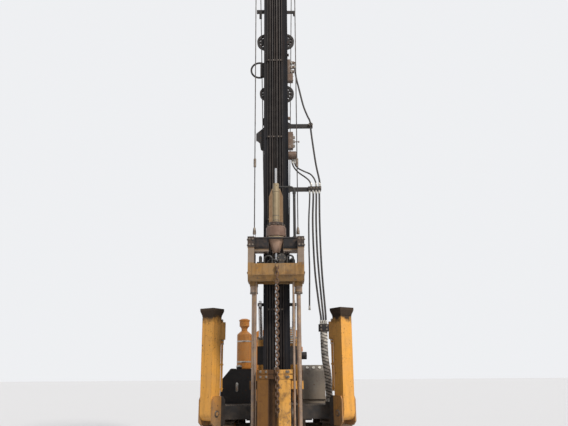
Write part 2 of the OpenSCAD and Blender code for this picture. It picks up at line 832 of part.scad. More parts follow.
module along_stay(side) {
    placed() translate([side * stay_x, stay_base_y, stay_base_z]) rotate([stay_lean, 0, 0]) children();
}

module tilt_barrel(side) {
    along_stay(side) difference() {
        union() {
            translate([0, 0, 105]) cylinder(r = stay_barrel_r, h = barrel_l - 105);
            translate([0, 0, barrel_l - 60]) cylinder(r = stay_barrel_r + 8, h = 60);
            translate([-clevis_w / 2, 0, 0]) rotate([0, 90, 0]) cylinder(r = stay_eye_r, h = clevis_w);
            block([-clevis_w / 2, -40, 0], [clevis_w / 2, 40, 106]);
        }
        bar_x(-clevis_w, clevis_w, 0, 0, stay_pin_r + fit_gap);
        translate([0, 0, 130]) cylinder(r = stay_rod_r + fit_gap, h = barrel_l);
    }
}

module tilt_rod(side) {
    eye_r = stay_pin_r + 14;
    along_stay(side) difference() {
        union() {
            translate([0, 0, 560]) cylinder(r = stay_rod_r, h = stay_l - 560 - 40);
            translate([-clevis_w / 2, 0, stay_l]) rotate([0, 90, 0]) cylinder(r = eye_r + 28, h = clevis_w);
        }
        bar_x(-clevis_w, clevis_w, 0, stay_l, eye_r);
    }
}

module tilt_barrel_left() {
    color("goldenrod") tilt_barrel(-1);
}

module tilt_barrel_right() {
    color("goldenrod") tilt_barrel(1);
}

module tilt_rod_left() {
    color("silver") tilt_rod(-1);
}

module tilt_rod_right() {
    color("silver") tilt_rod(1);
}

// Head: plates that carry two shafts of sheaves, in front of and behind the leader
head_plate_t = 30;
sheave_w = 60;
rope_y = hammer_y + 160;
rope_wrap_r = sheave_r - 6;
front_shaft_y = rope_y + rope_wrap_r;
rear_shaft_y = leader_back_y + 150;
shaft_z = leader_top_z + 150;
shaft_r = 35;
sheave_inner = rope_x - sheave_w / 2 - run_gap;
sheave_outer = rope_x + sheave_w / 2 + run_gap;

module head_plate_outline() {
    low = leader_top_z + 60;
    reach = 80;
    polygon([
        [front_shaft_y - reach, shaft_z - 40], [front_shaft_y - reach, shaft_z + 50],
        [front_shaft_y - 30, shaft_z + 100], [rear_shaft_y + 30, shaft_z + 100],
        [rear_shaft_y + reach, shaft_z + 50], [rear_shaft_y + reach, shaft_z - 40],
        [leader_back_y, low], [leader_front_y, low]
    ]);
}

module mast_head() {
    mid_y = leader_back_y - leader_d / 2;
    color("dimgray") placed() {
        block([-leader_w / 2, leader_front_y, leader_top_z],
            [leader_w / 2, leader_back_y, leader_top_z + 30]);
        both_sides() for (x = [sheave_inner - head_plate_t, sheave_outer])
            plate_x(x, head_plate_t) head_plate_outline();
        for (y = [leader_front_y + 140, leader_back_y - 80])
            block([-sheave_outer - head_plate_t, y - 40, leader_top_z + 29],
                [sheave_outer + head_plate_t, y + 40, leader_top_z + 61]);
        for (y = [front_shaft_y, rear_shaft_y]) both_sides()
            bar_x(sheave_inner - 1, sheave_outer + 1, y, shaft_z, shaft_r);
        // Lifting eye on a cross plate between the inner side plates
        block([-sheave_inner, mid_y - 60, shaft_z + 40], [sheave_inner, mid_y + 60, shaft_z + 70]);
        plate_x(-20, 40) difference() {
            union() {
                translate([mid_y - 60, shaft_z + 69]) square([120, 61]);
                translate([mid_y, shaft_z + 130]) circle(r = 59);
            }
            translate([mid_y, shaft_z + 130]) circle(r = 30);
        }
    }
}

module sheave_pair(y) {
    groove = rope_d / 2 + 1;
    placed() both_sides() translate([rope_x - sheave_w / 2, y, shaft_z]) rotate([0, 90, 0])
        difference() {
            cylinder(r = sheave_r, h = sheave_w);
            translate([0, 0, sheave_w / 2]) rotate_extrude()
                translate([sheave_r, 0]) circle(r = groove + 6);
            translate([0, 0, -1]) cylinder(r = shaft_r + fit_gap, h = sheave_w + 2);
        }
}

module front_sheaves() {
    color("dimgray") sheave_pair(front_shaft_y);
}

module rear_sheaves() {
    color("dimgray") sheave_pair(rear_shaft_y);
}

// Rope guides as height, side, radius and place of the centre out from the box
guide_rows = [[7500, -1, 155, 25], [7510, 1, 150, 25], [6441, -1, 128, 0], [6437, 1, 160, 0]];
fit_y = leader_front_y + leader_plate_t + 7 * run_gap;
box_side = leader_box_w / 2 + seat_gap;

module rope_guide(z, r, out) {
    t = 60;
    x = leader_box_w / 2 + out;
    difference() {
        translate([x, fit_y, z]) rotate([-90, 0, 0]) cylinder(r = r, h = t);
        block([-r, fit_y - 1, z - r - 1], [box_side, fit_y + t + 1, z + r + 1]);
        for (a = [-60:40:60]) translate([x + cos(a) * r * 0.62, fit_y - 1, z + sin(a) * r * 0.62])
            rotate([-90, 0, 0]) cylinder(r = r * 0.15, h = t + 2);
    }
}

module leader_fittings() {
    bracket_z = 8125;
    bracket_out = 355;
    coil_z = 6925;
    coil_r = 150;
    coil_gap = 96;
    gusset_z = 5289;
    gusset_h = 528;
    gusset_out = 352;
    gusset_t = 24;
    shelf_z = gusset_z + 249;
    color("dimgray") placed() {
        for (row = guide_rows) mirror([row[1] > 0 ? 0 : 1, 0, 0]) rope_guide(row[0], row[2], row[3]);
        // Upper brackets, a T on the left and an arm with a knob on the right
        block([-bracket_out, fit_y, bracket_z], [-box_side, fit_y + 50, bracket_z + 55]);
        block([48 - bracket_out, fit_y, bracket_z - 110], [95 - bracket_out, fit_y + 50, bracket_z + 1]);
        block([box_side, fit_y, bracket_z - 10], [bracket_out + 11, fit_y + 40, bracket_z + 35]);
        translate([bracket_out - 10, fit_y + 20, bracket_z - 65]) cylinder(r = 18, h = 56);
        bar_x(box_side, 240, fit_y + 30, guide_rows[0][0] - 264, 26);
        // Coiled pipe on the left, held by its block
        block([-2 * coil_r + 15, fit_y, coil_z - 135], [-box_side, fit_y + 70, coil_z + 135]);
        translate([-2 * coil_r, fit_y + 35, coil_z]) rotate([90, 0, 0]) rotate([0, 0, coil_gap / 2])
            rotate_extrude(angle = 360 - coil_gap) translate([coil_r, 0]) circle(r = 17);
        // Gusset that leads the left rope, its shelf and the block above it
        translate([0, fit_y + gusset_t, gusset_z]) rotate([90, 0, 0]) linear_extrude(gusset_t) polygon([
            [-box_side, gusset_h], [-gusset_out, gusset_h - 163], [-gusset_out, gusset_h - 279],
            [63 - gusset_out, gusset_h - 337], [81 - gusset_out, gusset_h - 461], [-box_side, 0]
        ]);
        block([-gusset_out, fit_y, shelf_z], [-box_side, fit_y + 70, shelf_z + 24]);
        block([-242, fit_y, gusset_z + gusset_h + 4], [-box_side, fit_y + 30, gusset_z + gusset_h + 139]);
    }
}

// Valve blocks and a motor on the leader's right side
module leader_valves() {
    port_y = fit_y + 45;
    low_port_z = 6900;
    port_pitch = 90;
    ports_z = [low_port_z, low_port_z + port_pitch, low_port_z + 2 * port_pitch];
    port_out = 336;
    elbow_x = port_out + 16;
    elbow_r = 20;
    block_z = 5380;
    block_h = 308;
    knob_y = fit_y + 60;
    knob_z = block_z + 140;
    motor_y = fit_y + 80;
    motor_z = 5267;
    color("saddlebrown") placed() {
        // Upper block with three ports, and the elbow that the upper hose hangs from
        block([box_side, fit_y, ports_z[0] - 50], [262, fit_y + 90, ports_z[2] + 50]);
        for (z = ports_z) bar_x(261, port_out, port_y, z, 30);
        bar_x(port_out - 1, elbow_x, port_y, ports_z[2], elbow_r);
        translate([elbow_x, port_y, ports_z[2]]) sphere(r = elbow_r + 3);
        translate([elbow_x, port_y, ports_z[2] - 50]) cylinder(r = elbow_r, h = 50);
        block([box_side, fit_y, ports_z[0] - 200], [312, fit_y + 110, ports_z[0] - 60]);
        bar_x(box_side, 265, fit_y + 30, arm_rows[0][0] + 150, 30);
        // Lower block with its ports and knob
        block([box_side, fit_y, block_z], [300, fit_y + 120, block_z + block_h]);
        for (i = [0:2]) bar_x(299, 335, knob_y, block_z + 60 + 80 * i, 26);
        bar_x(334, 395, knob_y, knob_z, 8);
        bar_x(394, 412, knob_y, knob_z, 17);
        // Motor with the ports of its two hoses
        bar_x(box_side, 350, motor_y, motor_z, 76);
        bar_x(349, 372, motor_y, motor_z, 52);
        for (x = [285, 325]) translate([x, motor_y, motor_z - 92]) cylinder(r = 19, h = 40);
    }
}

module leader_cooler() {
    fin_count = 7;
    low = 2030;
    high = 2283;
    out = 300;
    deep = 90;
    fin_pitch = (high - low) / fin_count;
    color("saddlebrown") placed() difference() {
        block([box_side, fit_y, low], [out, fit_y + deep, high]);
        for (i = [0:fin_count - 1])
            block([out - 100, fit_y - 1, low + (i + 0.45) * fin_pitch],
                [out + 1, fit_y + deep + 1, low + (i + 0.9) * fin_pitch]);
    }
}

// Two arms on the right that hold the hoses away from the leader
arm_rows = [[5810, 651], [4625, 774]];
arm_y = leader_front_y + leader_plate_t + 55;
hose_y = arm_y - 26;
hose_r = 16;
pass_x = 612;
clamp_half = 30;

// Angle iron with a gusset and a foot plate on the leader's side
module hose_arm(tip_x) {
    high = 64;
    deep = 60;
    t = 8;
    root_h = 200;
    plate_x(box_side, tip_x - box_side) translate([arm_y, 0]) polygon([
        [0, -high / 2], [deep, -high / 2], [deep, -high / 2 + t], [t, -high / 2 + t],
        [t, high / 2], [0, high / 2]
    ]);
    block([box_side, arm_y - 6, -root_h / 2], [box_side + 10, arm_y + deep + 20, root_h / 2]);
    translate([0, arm_y + t, 0]) rotate([90, 0, 0]) linear_extrude(t) polygon([
        [box_side, -root_h / 2], [box_side + 110, -high / 2], [box_side + 110, high / 2],
        [box_side, root_h / 2]
    ]);
}

// A clamp in front of an arm, from one X place to another
module arm_clamp(x0, x1) {
    block([x0, hose_y - 26, -clamp_half], [x1, arm_y + 1, clamp_half]);
}

// One hose passes the upper arm
module hose_arm_upper() {
    color("black") placed() translate([0, 0, arm_rows[0][0]]) difference() {
        union() {
            hose_arm(arm_rows[0][1]);
            arm_clamp(pass_x - 34, pass_x + 34);
        }
        translate([pass_x, hose_y, -clamp_half - 1]) cylinder(r = hose_r + seat_gap, h = 2 * clamp_half + 2);
    }
}

// Five hoses end at the lower arm
module hose_arm_lower() {
    color("black") placed() translate([0, 0, arm_rows[1][0]]) {
        hose_arm(arm_rows[1][1]);
        arm_clamp(548, arm_rows[1][1]);
    }
}

module leader_pipes() {
    rows = [[-148, 9], [-105, 15], [-62, 15], [-22, 11], [18, 19], [66, 15], [108, 12]];
    low = leader_foot_z + 300;
    high = leader_top_z - 200;
    clip_pitch = 1500;
    clip_h = 36;
    clip_t = 30;
    color("gray") placed() {
        for (row = rows) translate([row[0], leader_front_y - row[1] - seat_gap, low])
            cylinder(r = row[1], h = high - low);
        for (z = [low + 400:clip_pitch:high - 100])
            block([-160, leader_front_y - clip_t, z], [124, leader_front_y - seat_gap, z + clip_h]);
    }
}

// Winch on the leader's back
winch_z = 1850;
winch_y = leader_back_y + 260;
drum_half_l = 300;
drum_r = 95;
winch_pin_r = 30;

module winch_frame() {
    plate_t = 25;
    foot_t = 40;
    x = drum_half_l + run_gap;
    color("dimgray") placed() {
        both_sides() plate_x(x, plate_t) {
            polygon([
                [leader_back_y + foot_t - 1, winch_z - 150], [leader_back_y + foot_t - 1, winch_z + 150],
                [winch_y, winch_z + 100], [winch_y, winch_z - 100]
            ]);
            translate([winch_y, winch_z]) circle(r = 115);
        }
        block([-x - plate_t, leader_back_y + seat_gap, winch_z - 150],
            [x + plate_t, leader_back_y + foot_t, winch_z + 150]);
        bar_x(-x - 1, x + 1, winch_y, winch_z, winch_pin_r);
        // Motor and gearbox on the right plate
        bar_x(x + plate_t - 1, x + plate_t + 60, winch_y, winch_z, 95);
        bar_x(x + plate_t + 59, x + plate_t + 170, winch_y, winch_z, 62);
    }
}

// Hoist ropes, taut over both sheaves and down to the drum
rope_end_x = 190;

module hoist_ropes() {
    top_z = shaft_z + rope_wrap_r;
    fall = [rope_end_x - rope_x, winch_y + drum_r + rope_d - rear_shaft_y - rope_wrap_r, winch_z - shaft_z];
    fall_l = norm(fall);
    lean = acos(fall[2] / fall_l);
    heading = atan2(fall[1], fall[0]);
    sink = 1;
    color("dimgray") placed() both_sides() translate([rope_x, 0, 0]) {
        for (row = [[front_shaft_y, 90], [rear_shaft_y, 0]]) translate([0, row[0], shaft_z])
            rotate([0, 0, 90]) rotate([90, 0, 0]) rotate([0, 0, row[1]])
                rotate_extrude(angle = 90) translate([rope_wrap_r, 0]) circle(r = rope_d / 2 - 0.5);
        translate([0, front_shaft_y - sink, top_z]) rotate([-90, 0, 0])
            cylinder(d = rope_d, h = rear_shaft_y - front_shaft_y + 2 * sink);
        for (y = [front_shaft_y - rope_wrap_r, rear_shaft_y + rope_wrap_r])
            translate([0, y, shaft_z - 40]) cylinder(d = rope_d, h = 40 + sink);
        translate([0, rear_shaft_y + rope_wrap_r, shaft_z - 36])
            rotate([0, 0, heading]) rotate([0, lean, 0]) cylinder(r = rope_d / 2 + 0.5, h = fall_l - 120);
    }
}

module winch_drum() {
    color("gray") placed() translate([-drum_half_l, winch_y, winch_z]) rotate([0, 90, 0])
        difference() {
            union() {
                cylinder(r = drum_r, h = 2 * drum_half_l);
                for (z = [0, drum_half_l - 10, 2 * drum_half_l - 20]) translate([0, 0, z])
                    cylinder(r = 150, h = 20);
            }
            translate([0, 0, -1]) cylinder(r = winch_pin_r + fit_gap, h = 2 * drum_half_l + 2);
        }
}

// Claws that hold the leader's front plate, extruded over a height
claw_t = 45;

module claw_pair(z0, z1) {
    inner = leader_w / 2 + slide_gap;
    behind = leader_front_y + leader_plate_t + slide_gap;
    front = leader_front_y - slide_gap;
    translate([0, 0, z0]) linear_extrude(z1 - z0) for (s = [0, 1]) mirror([s, 0]) polygon([
        [leader_box_w / 2 + run_gap, behind], [inner, behind], [inner, front],
        [leader_box_w / 2, front], [leader_box_w / 2, front - 40], [inner + claw_t, front - 40],
        [inner + claw_t, behind + 35], [leader_box_w / 2 + run_gap, behind + 35]
    ]);
}

// Top frame: a deep tray, jambs and an upper frame that carries the cylinder
lip_z = tray_z - 90;
lip_in = 60;
column_seat_z = lip_z - 60;
jamb_top_z = frame_top_z - 172;
beam_top_z = frame_top_z - 9 - seat_gap;
beam_low_z = frame_top_z - 210;
sill_z = tray_z + tray_h;
column_x = column_span / 2;
chain_x = 15;
rod_hole_r = 75;
cone_r = 140;
chain_pin_r = 12;
chain_inner_r = (chain_pitch - (chain_w - 2 * chain_d)) / 2 + chain_w / 2 - chain_d;
chain_link_z = sill_z - 60;
module hammer_top_frame() {
    half = frame_w / 2;
    y0 = hammer_y - frame_d / 2;
    y1 = hammer_y + frame_d / 2;
    corner = 110;
    chain_pin_z = chain_link_z + chain_inner_r - chain_pin_r - 7 * seat_gap;
    neck_z = tray_z + 20;
    neck_h = 150;
    claw_h = 180;
    color("goldenrod") placed() {
        // Tray and jambs, cut from one box
        difference() {
            block([-half, y0, tray_z], [half, y1, jamb_top_z]);
            block([-half + frame_t, y0 + frame_t, tray_z + frame_t],
                [half - frame_t, y1 - frame_t, jamb_top_z + 1]);
            block([-half + jamb_w, y0 - 1, sill_z], [half - jamb_w, y1 + 1, jamb_top_z + 1]);
            plate_x(-half - 1, frame_w + 2) translate([hammer_y, sill_z + 120]) round_rect(190, 150, 50);
            translate([0, hammer_y, tray_z - 1]) cylinder(r = rod_hole_r, h = frame_t + 2);
        }
        // Lip: the walls lean inwards below the tray's floor
        difference() {
            plate_x(-half, frame_w) polygon([
                [y0, tray_z + 1], [y1, tray_z + 1], [y1 - lip_in, lip_z], [y0 + lip_in, lip_z]
            ]);
            block([-half + 110, y0 + 2 * lip_in, lip_z - 1], [half - 110, y1 - 2 * lip_in, tray_z + 2]);
        }
        both_sides() {
            // Seats that the columns end in
            block([column_x - 62, hammer_y - 62, column_seat_z], [column_x + 62, hammer_y + 62, lip_z + 1]);
            // Upper frame: corner boxes and side rails
            for (y = [y0 - 6, y1 + 6 - corner])
                block([half - jamb_w - 3, y, jamb_top_z - 1], [half + 6, y + corner, frame_top_z]);
            block([half - 45, y0 + 100, jamb_top_z - 1], [half, y1 - 100, frame_top_z]);
            // Rope lug on the rear corner box
            plate_x(rope_x - 12, 24) difference() {
                union() {
                    translate([rope_y - 34, frame_top_z - 1]) square([68, 50]);
                    translate([rope_y, frame_top_z + 48]) circle(r = 33);
                }
                translate([rope_y, frame_top_z + 48]) circle(r = 16);
            }
        }
        difference() {
            block([-half + 30, hammer_y - 90, beam_low_z], [half - 30, hammer_y + 90, beam_top_z]);
            translate([0, hammer_y, beam_low_z - 1])
                cylinder(r = cone_r + 6, h = beam_top_z - beam_low_z + 2);
        }
        bar_x(-half + 60, half - 60, y0 + 25, frame_top_z - 22, 16);
        // Pin that the chain hangs from
        translate([chain_x, y0 + 1, chain_pin_z]) rotate([90, 0, 0])
            cylinder(r = chain_pin_r, h = y0 - chain_y + chain_d);
        translate([chain_x, chain_y - chain_d / 2 - 2, chain_pin_z]) rotate([90, 0, 0])
            cylinder(r = 22, h = 8);
        // Neck back to the claws
        both_sides() block([leader_box_w / 2, y1 - 1, neck_z],
            [leader_w / 2 + slide_gap + claw_t, leader_front_y - slide_gap - 39, neck_z + neck_h]);
        claw_pair(neck_z, neck_z + claw_h);
    }
}

base_top_z = ram_foot_z - 80;
base_low_z = 420;

module guide_columns() {
    low = base_top_z + 40;
    collar_h = 88;
    slim_rods = [[266, 17], [-306, 8]];
    color("peru") placed() {
        both_sides() translate([column_x, hammer_y, 0]) {
            translate([0, 0, low]) cylinder(r = column_r, h = column_seat_z - low);
            translate([0, 0, column_seat_z - collar_h]) cylinder(r = column_r + 25, h = collar_h);
            translate([0, 0, low]) cylinder(r = column_r + 25, h = 60);
        }
        for (row = slim_rods) translate([row[0], hammer_y - 90, low]) cylinder(r = row[1], h = tray_z - low);
    }
}

// Base: a thick plate round the anvil, with ears under the columns and claws at the back
module hammer_base() {
    half = frame_w / 2 - 30;
    color("goldenrod") placed() {
        block([-half, hammer_y - 210, base_low_z], [half, hammer_y + 210, base_top_z + 40]);
        translate([0, hammer_y, base_top_z + 39]) cylinder(r = 190, h = ram_foot_z - base_top_z - 39);
        for (s = [0, 1]) mirror([s, 0, 0]) block([leader_box_w / 2, hammer_y + 209, base_low_z],
            [leader_w / 2 + slide_gap + claw_t, leader_front_y - slide_gap - 39, base_top_z + 40]);
        claw_pair(base_low_z, base_top_z + 40);
    }
}

helmet_low_z = 200;
module pile_helmet() {
    color("saddlebrown") placed() translate([0, hammer_y, helmet_low_z]) difference() {
        union() {
            cylinder(r = helmet_r + 50, h = base_low_z - helmet_low_z);
            translate([0, 0, base_low_z - helmet_low_z - 40]) cylinder(r = helmet_r + 90, h = 40);
        }
        translate([0, 0, -1]) cylinder(r = helmet_r, h = helmet_depth + 1);
    }
}

// Ram: two blocks with a deep groove between them, joined by collars at the top
module ram() {
    half = ram_w / 2;
    depth = ram_d / 2;
    chamfer = 14;
    recess = 8;
    collar_gap = 14;
    collar_out = 25;
    groove_d = 90;
    body_top = ram_top_z - 2 * collar_t - collar_gap;
    color("goldenrod") placed() translate([0, hammer_y, 0]) difference() {
        union() {
            translate([-ram_shift, 0, ram_foot_z]) linear_extrude(ram_top_z - ram_foot_z - 1) polygon([
                [-half, -depth + chamfer], [-half + chamfer, -depth], [half - chamfer, -depth],
                [half, -depth + chamfer], [half, depth - chamfer], [half - chamfer, depth],
                [-half + chamfer, depth], [-half, depth - chamfer]
            ]);
            for (z = [body_top, ram_top_z - collar_t])
                block([collar_out - ram_shift - half - 5, -depth - recess, z],
                    [collar_out - ram_shift + half + 5, depth + recess, z + collar_t]);
            // Guides that run behind the columns
            both_sides() for (z = [ram_foot_z + 20, body_top - 150]) difference() {
                block([ram_w / 2 - ram_shift - 20, 2, z], [column_x + column_r + 22, column_r + 45, z + 120]);
                translate([column_x, 0, z - 1]) cylinder(r = column_r + slide_gap, h = 122);
            }
        }
        // Groove down the front, and the joint between the halves of the collars above it
        block([-ram_shift - groove_w / 2, -depth - 1, ram_foot_z - 1],
            [-ram_shift + groove_w / 2, -depth + groove_d, body_top]);
        block([0, -depth - recess - 1, body_top - 1], [23, -depth + groove_d, ram_top_z + 1]);
    }
}

module ram_rod() {
    color("silver") placed() translate([0, hammer_y, ram_top_z])
        cylinder(r = ram_rod_r, h = ram_rod_top_z - ram_top_z);
}

// Cylinder: a barrel with a flange, a gland head and a cone below its seat
module hammer_cylinder() {
    bore = ram_rod_r + fit_gap;
    seat_z = frame_top_z - 9;
    cone_h = 210;
    flange_r = 165;
    flange_h = 30;
    shell_r = 160;
    shell_z = seat_z + flange_h + 20;
    shell_h = 140;
    neck_r = 115;
    tube_z = seat_z + 278;
    tube_r = 53;
    head_z = tube_z + 516;
    top_z = tube_z + 662;
    color("goldenrod") placed() translate([0, hammer_y, 0]) {
        rotate_extrude() polygon([
            [bore, seat_z - cone_h], [52, seat_z - cone_h], [80, seat_z - 153], [cone_r, seat_z - 3],
            [cone_r, seat_z], [flange_r, seat_z], [flange_r, seat_z + flange_h],
            [shell_r - 12, seat_z + flange_h + 8], [shell_r, shell_z], [shell_r, shell_z + shell_h],
            [shell_r - 20, shell_z + shell_h + 24], [neck_r, shell_z + shell_h + 28], [neck_r, tube_z],
            [tube_r, tube_z], [tube_r, head_z], [tube_r + 6, head_z + 5], [tube_r + 6, head_z + 38],
            [tube_r - 3, head_z + 44], [tube_r - 3, top_z], [bore, top_z]
        ]);
        // Guards on both sides of the tube, with sloping tops
        both_sides() translate([0, 15, 0]) rotate([90, 0, 0]) linear_extrude(30) polygon([
            [tube_r - 20, tube_z - 1], [neck_r - 2, tube_z - 1], [neck_r - 2, head_z - 75],
            [tube_r + 13, head_z + 60], [tube_r - 20, head_z + 60]
        ]);
    }
}

// An arched hose whose bend sinks into two legs
module hose_arch(r_bend, r_hose, legs) {
    sink = 1;
    translate([0, 0, legs - sink]) rotate([90, 0, 0])
        rotate_extrude(angle = 180) translate([r_bend, 0]) circle(r = r_hose - sink / 2);
    for (x = [-r_bend, r_bend]) translate([x, 0, 0]) cylinder(r = r_hose, h = legs);
}

module hammer_valve() {
    floor_z = tray_z + frame_t + seat_gap;
    motor_x = 85;
    motor_y = -186;
    motor_h = 240;
    motor_z = floor_z + motor_h;
    motor_r = 60;
    motor_l = 90;
    block_h = 190;
    // Arches as X, Y, bend radius, hose radius and height of the legs
    arches = [[-120, -150, 62, 15, 215], [220, -150, 48, 15, 235], [-60, -110, 80, 13, 150]];
    feed_x = 297;
    feed_r = 15;
    feed_low = beam_top_z + seat_gap;
    feed_top = frame_top_z + 820;
    bend = 60;
    color("black") placed() translate([0, hammer_y, 0]) {
        // Motor on its bracket, lying front to rear
        translate([motor_x, motor_y, motor_z]) rotate([-90, 0, 0]) {
            cylinder(r = motor_r, h = motor_l);
            translate([0, 0, 20]) cylinder(r = motor_r + 10, h = 24);
        }
        block([motor_x - 40, motor_y + 6, floor_z], [motor_x + 40, motor_y + 81, motor_z - 40]);
        // Valve block with two solenoids, and an accumulator
        block([-300, -110, floor_z], [-190, 60, floor_z + block_h]);
        for (y = [-70, 10]) translate([-245, y, floor_z + block_h - 1]) cylinder(r = 24, h = 90);
        translate([250, 40, floor_z]) cylinder(r = 50, h = 250);
        for (row = arches) translate([row[0], row[1], floor_z]) hose_arch(row[2], row[3], row[4]);
        // Feed hose beside the cylinder, from the cross beam to the cylinder's head
        translate([feed_x, 0, feed_low]) {
            cylinder(r = feed_r * 2, h = 60);
            cylinder(r = feed_r + 7, h = feed_top - feed_low - 30);
        }
        translate([feed_x, 0, feed_top - 60]) cylinder(r = feed_r + 13, h = 61);
        translate([feed_x - bend, 0, feed_top]) rotate([90, 0, 0])
            rotate_extrude(angle = 90) translate([bend, 0]) circle(r = feed_r - 0.5);
        bar_x(50 + seat_gap, feed_x - bend + 1, 0, feed_top + bend, feed_r);
    }
}

// Chain: links in turn across and along, each a stadium ring
chain_low_z = 900;
chain_count = floor((chain_link_z - chain_low_z) / chain_pitch);

module chain_link() {
    inner_w = chain_w - 2 * chain_d;
    straight = chain_pitch - inner_w;
    translate([0, 0, -chain_d / 2]) linear_extrude(chain_d) difference() {
        union() {
            square([chain_w, straight], center = true);
            for (s = [-1, 1]) translate([0, s * straight / 2]) circle(r = chain_w / 2, $fn = 8);
        }
        union() {
            square([inner_w, straight], center = true);
            for (s = [-1, 1]) translate([0, s * straight / 2]) circle(r = inner_w / 2, $fn = 8);
        }
    }
}

module lifting_chain() {
    color("saddlebrown") placed() for (i = [0:chain_count - 1])
        translate([chain_x, chain_y, chain_link_z - i * (chain_pitch - seat_gap)])
            rotate([0, 0, i % 2 * 90]) rotate([90, 0, 0]) chain_link();
}

// A tube of given radius swept along points, as one solid with flat sides
function unit(v) = v / norm(v);
function tangent(p, i) =
    i == 0 ? unit(p[1] - p[0])
    : i == len(p) - 1 ? unit(p[i] - p[i - 1])
    : unit(p[i + 1] - p[i - 1]);
function ring(p, i, r, sides) =
    let (t = tangent(p, i), a = unit(cross(t, [0, 1, 0])), b = cross(t, a))
    [for (k = [0:sides - 1]) p[i] + r * (cos(360 * k / sides) * a + sin(360 * k / sides) * b)];

module tube(p, r, sides) {
    last = len(p) - 1;
    points = [for (i = [0:last]) each ring(p, i, r, sides)];
    walls = [for (i = [0:last - 1], k = [0:sides - 1])
        [i * sides + k, (i + 1) * sides + k, (i + 1) * sides + (k + 1) % sides, i * sides + (k + 1) % sides]];
    start = [for (k = [0:sides - 1]) k];
    end = [for (k = [0:sides - 1]) last * sides + sides - 1 - k];
    polyhedron(points, concat([start], walls, [end]), convexity = 4);
}

// Hand-chosen routes in the part's frame; the bundle runs down to the deck's gland
bundle_r = 58;
bundle_route = [
    [756, -1757, 2207], [756, -1757, 2151], [760, -1731, 1988], [772, -1656, 1841], [791, -1540, 1726],
    [814, -1392, 1654], [837, -1245, 1581], [856, -1129, 1466], [868, -1054, 1319], [872, -1028, 1156],
    [872, -1028, 1100]
];

// Three hoses hang from the lower arm down to the clamp
riser_r = 16;
riser_routes = [
    [[634, -1757, 4595], [634, -1757, 4460], [616, -1760, 4060], [620, -1762, 3560],
     [642, -1760, 3100], [694, -1757, 2600], [716, -1757, 2440], [716, -1757, 2320]],
    [[686, -1757, 4595], [686, -1757, 4460], [674, -1755, 4060], [680, -1752, 3560],
     [704, -1754, 3100], [742, -1757, 2600], [755, -1757, 2440], [755, -1757, 2320]],
    [[738, -1757, 4595], [738, -1757, 4460], [733, -1760, 4060], [738, -1763, 3560],
     [754, -1761, 3100], [786, -1757, 2600], [794, -1757, 2440], [794, -1757, 2320]]
];

// From the upper valve block past the upper arm to the lower one
upper_route = [
    [352, -1699, 7030], [352, -1699, 6950], [372, -1704, 6770], [419, -1716, 6540], [490, -1736, 6200],
    [560, -1752, 5990], [604, -1757, 5890], [612, -1757, 5845], [612, -1757, 5775], [632, -1757, 5560],
    [690, -1757, 5080], [748, -1757, 4760], [748, -1757, 4655]
];
motor_r = 13;
motor_route_1 = [
    [325, -1664, 5175], [325, -1664, 5135], [338, -1668, 5085], [372, -1676, 5035], [427, -1688, 4993],
    [510, -1706, 4945], [595, -1728, 4895], [650, -1746, 4820], [682, -1756, 4735], [686, -1757, 4690],
    [686, -1757, 4655]
];
motor_route_2 = [
    [285, -1664, 5175], [285, -1664, 5135], [296, -1668, 5080], [326, -1676, 5020], [374, -1690, 4957],
    [436, -1708, 4897], [505, -1728, 4840], [558, -1745, 4785], [587, -1755, 4735], [599, -1757, 4695],
    [601, -1757, 4675], [601, -1757, 4655]
];
loose_r = 13;
loose_route = [
    [573, -1757, 4595], [573, -1757, 4460], [550, -1760, 4060], [544, -1762, 3600], [546, -1760, 3200],
    [538, -1757, 2800], [534, -1757, 2550]
];

module hose_bundle() {
    color("darkgray") tube(bundle_route, bundle_r, 10);
}

// Clamp that gathers the hanging hoses into the bundle
module hose_clamp() {
    color("black") translate(bundle_route[0])
        linear_extrude(riser_routes[0][7][2] - bundle_route[0][2]) round_rect(166, 124, 40);
}

module riser_hose_1() {
    color("black") tube(riser_routes[0], riser_r, 8);
}

module riser_hose_2() {
    color("black") tube(riser_routes[1], riser_r, 8);
}

module riser_hose_3() {
    color("black") tube(riser_routes[2], riser_r, 8);
}

module upper_hose() {
    color("black") tube(upper_route, hose_r, 8);
}

module motor_hose_1() {
    color("black") tube(motor_route_1, motor_r, 8);
}

module motor_hose_2() {
    color("black") tube(motor_route_2, motor_r, 8);
}

module loose_hose() {
    color("black") tube(loose_route, loose_r, 8);
}

track_left();
track_right();
track_frames();
track_wheels();
base_frame();
cross_beams();
front_arms();
deck();
counterweight();
engine_hood();
engine();
rear_grille();
air_cleaner();
exhaust();
hydraulic_tank();
operator_seat();
control_console();
hood_door_left();
hood_door_right();
leg_left();
leg_right();
leader();
leader_foot();
mast_head();
leader_fittings();
leader_valves();
leader_cooler();
hose_arm_upper();
hose_arm_lower();
leader_pipes();
winch_frame();
winch_drum();
hoist_ropes();
front_sheaves();
rear_sheaves();
hammer_top_frame();
guide_columns();
hammer_base();
pile_helmet();
hammer_cylinder();
hammer_valve();
lifting_chain();
ram();
ram_rod();
tilt_barrel_left();
tilt_barrel_right();
tilt_rod_left();
tilt_rod_right();
hose_bundle();
hose_clamp();
riser_hose_1();
riser_hose_2();
riser_hose_3();
upper_hose();
motor_hose_1();
motor_hose_2();
loose_hose();
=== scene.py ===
import math
import random

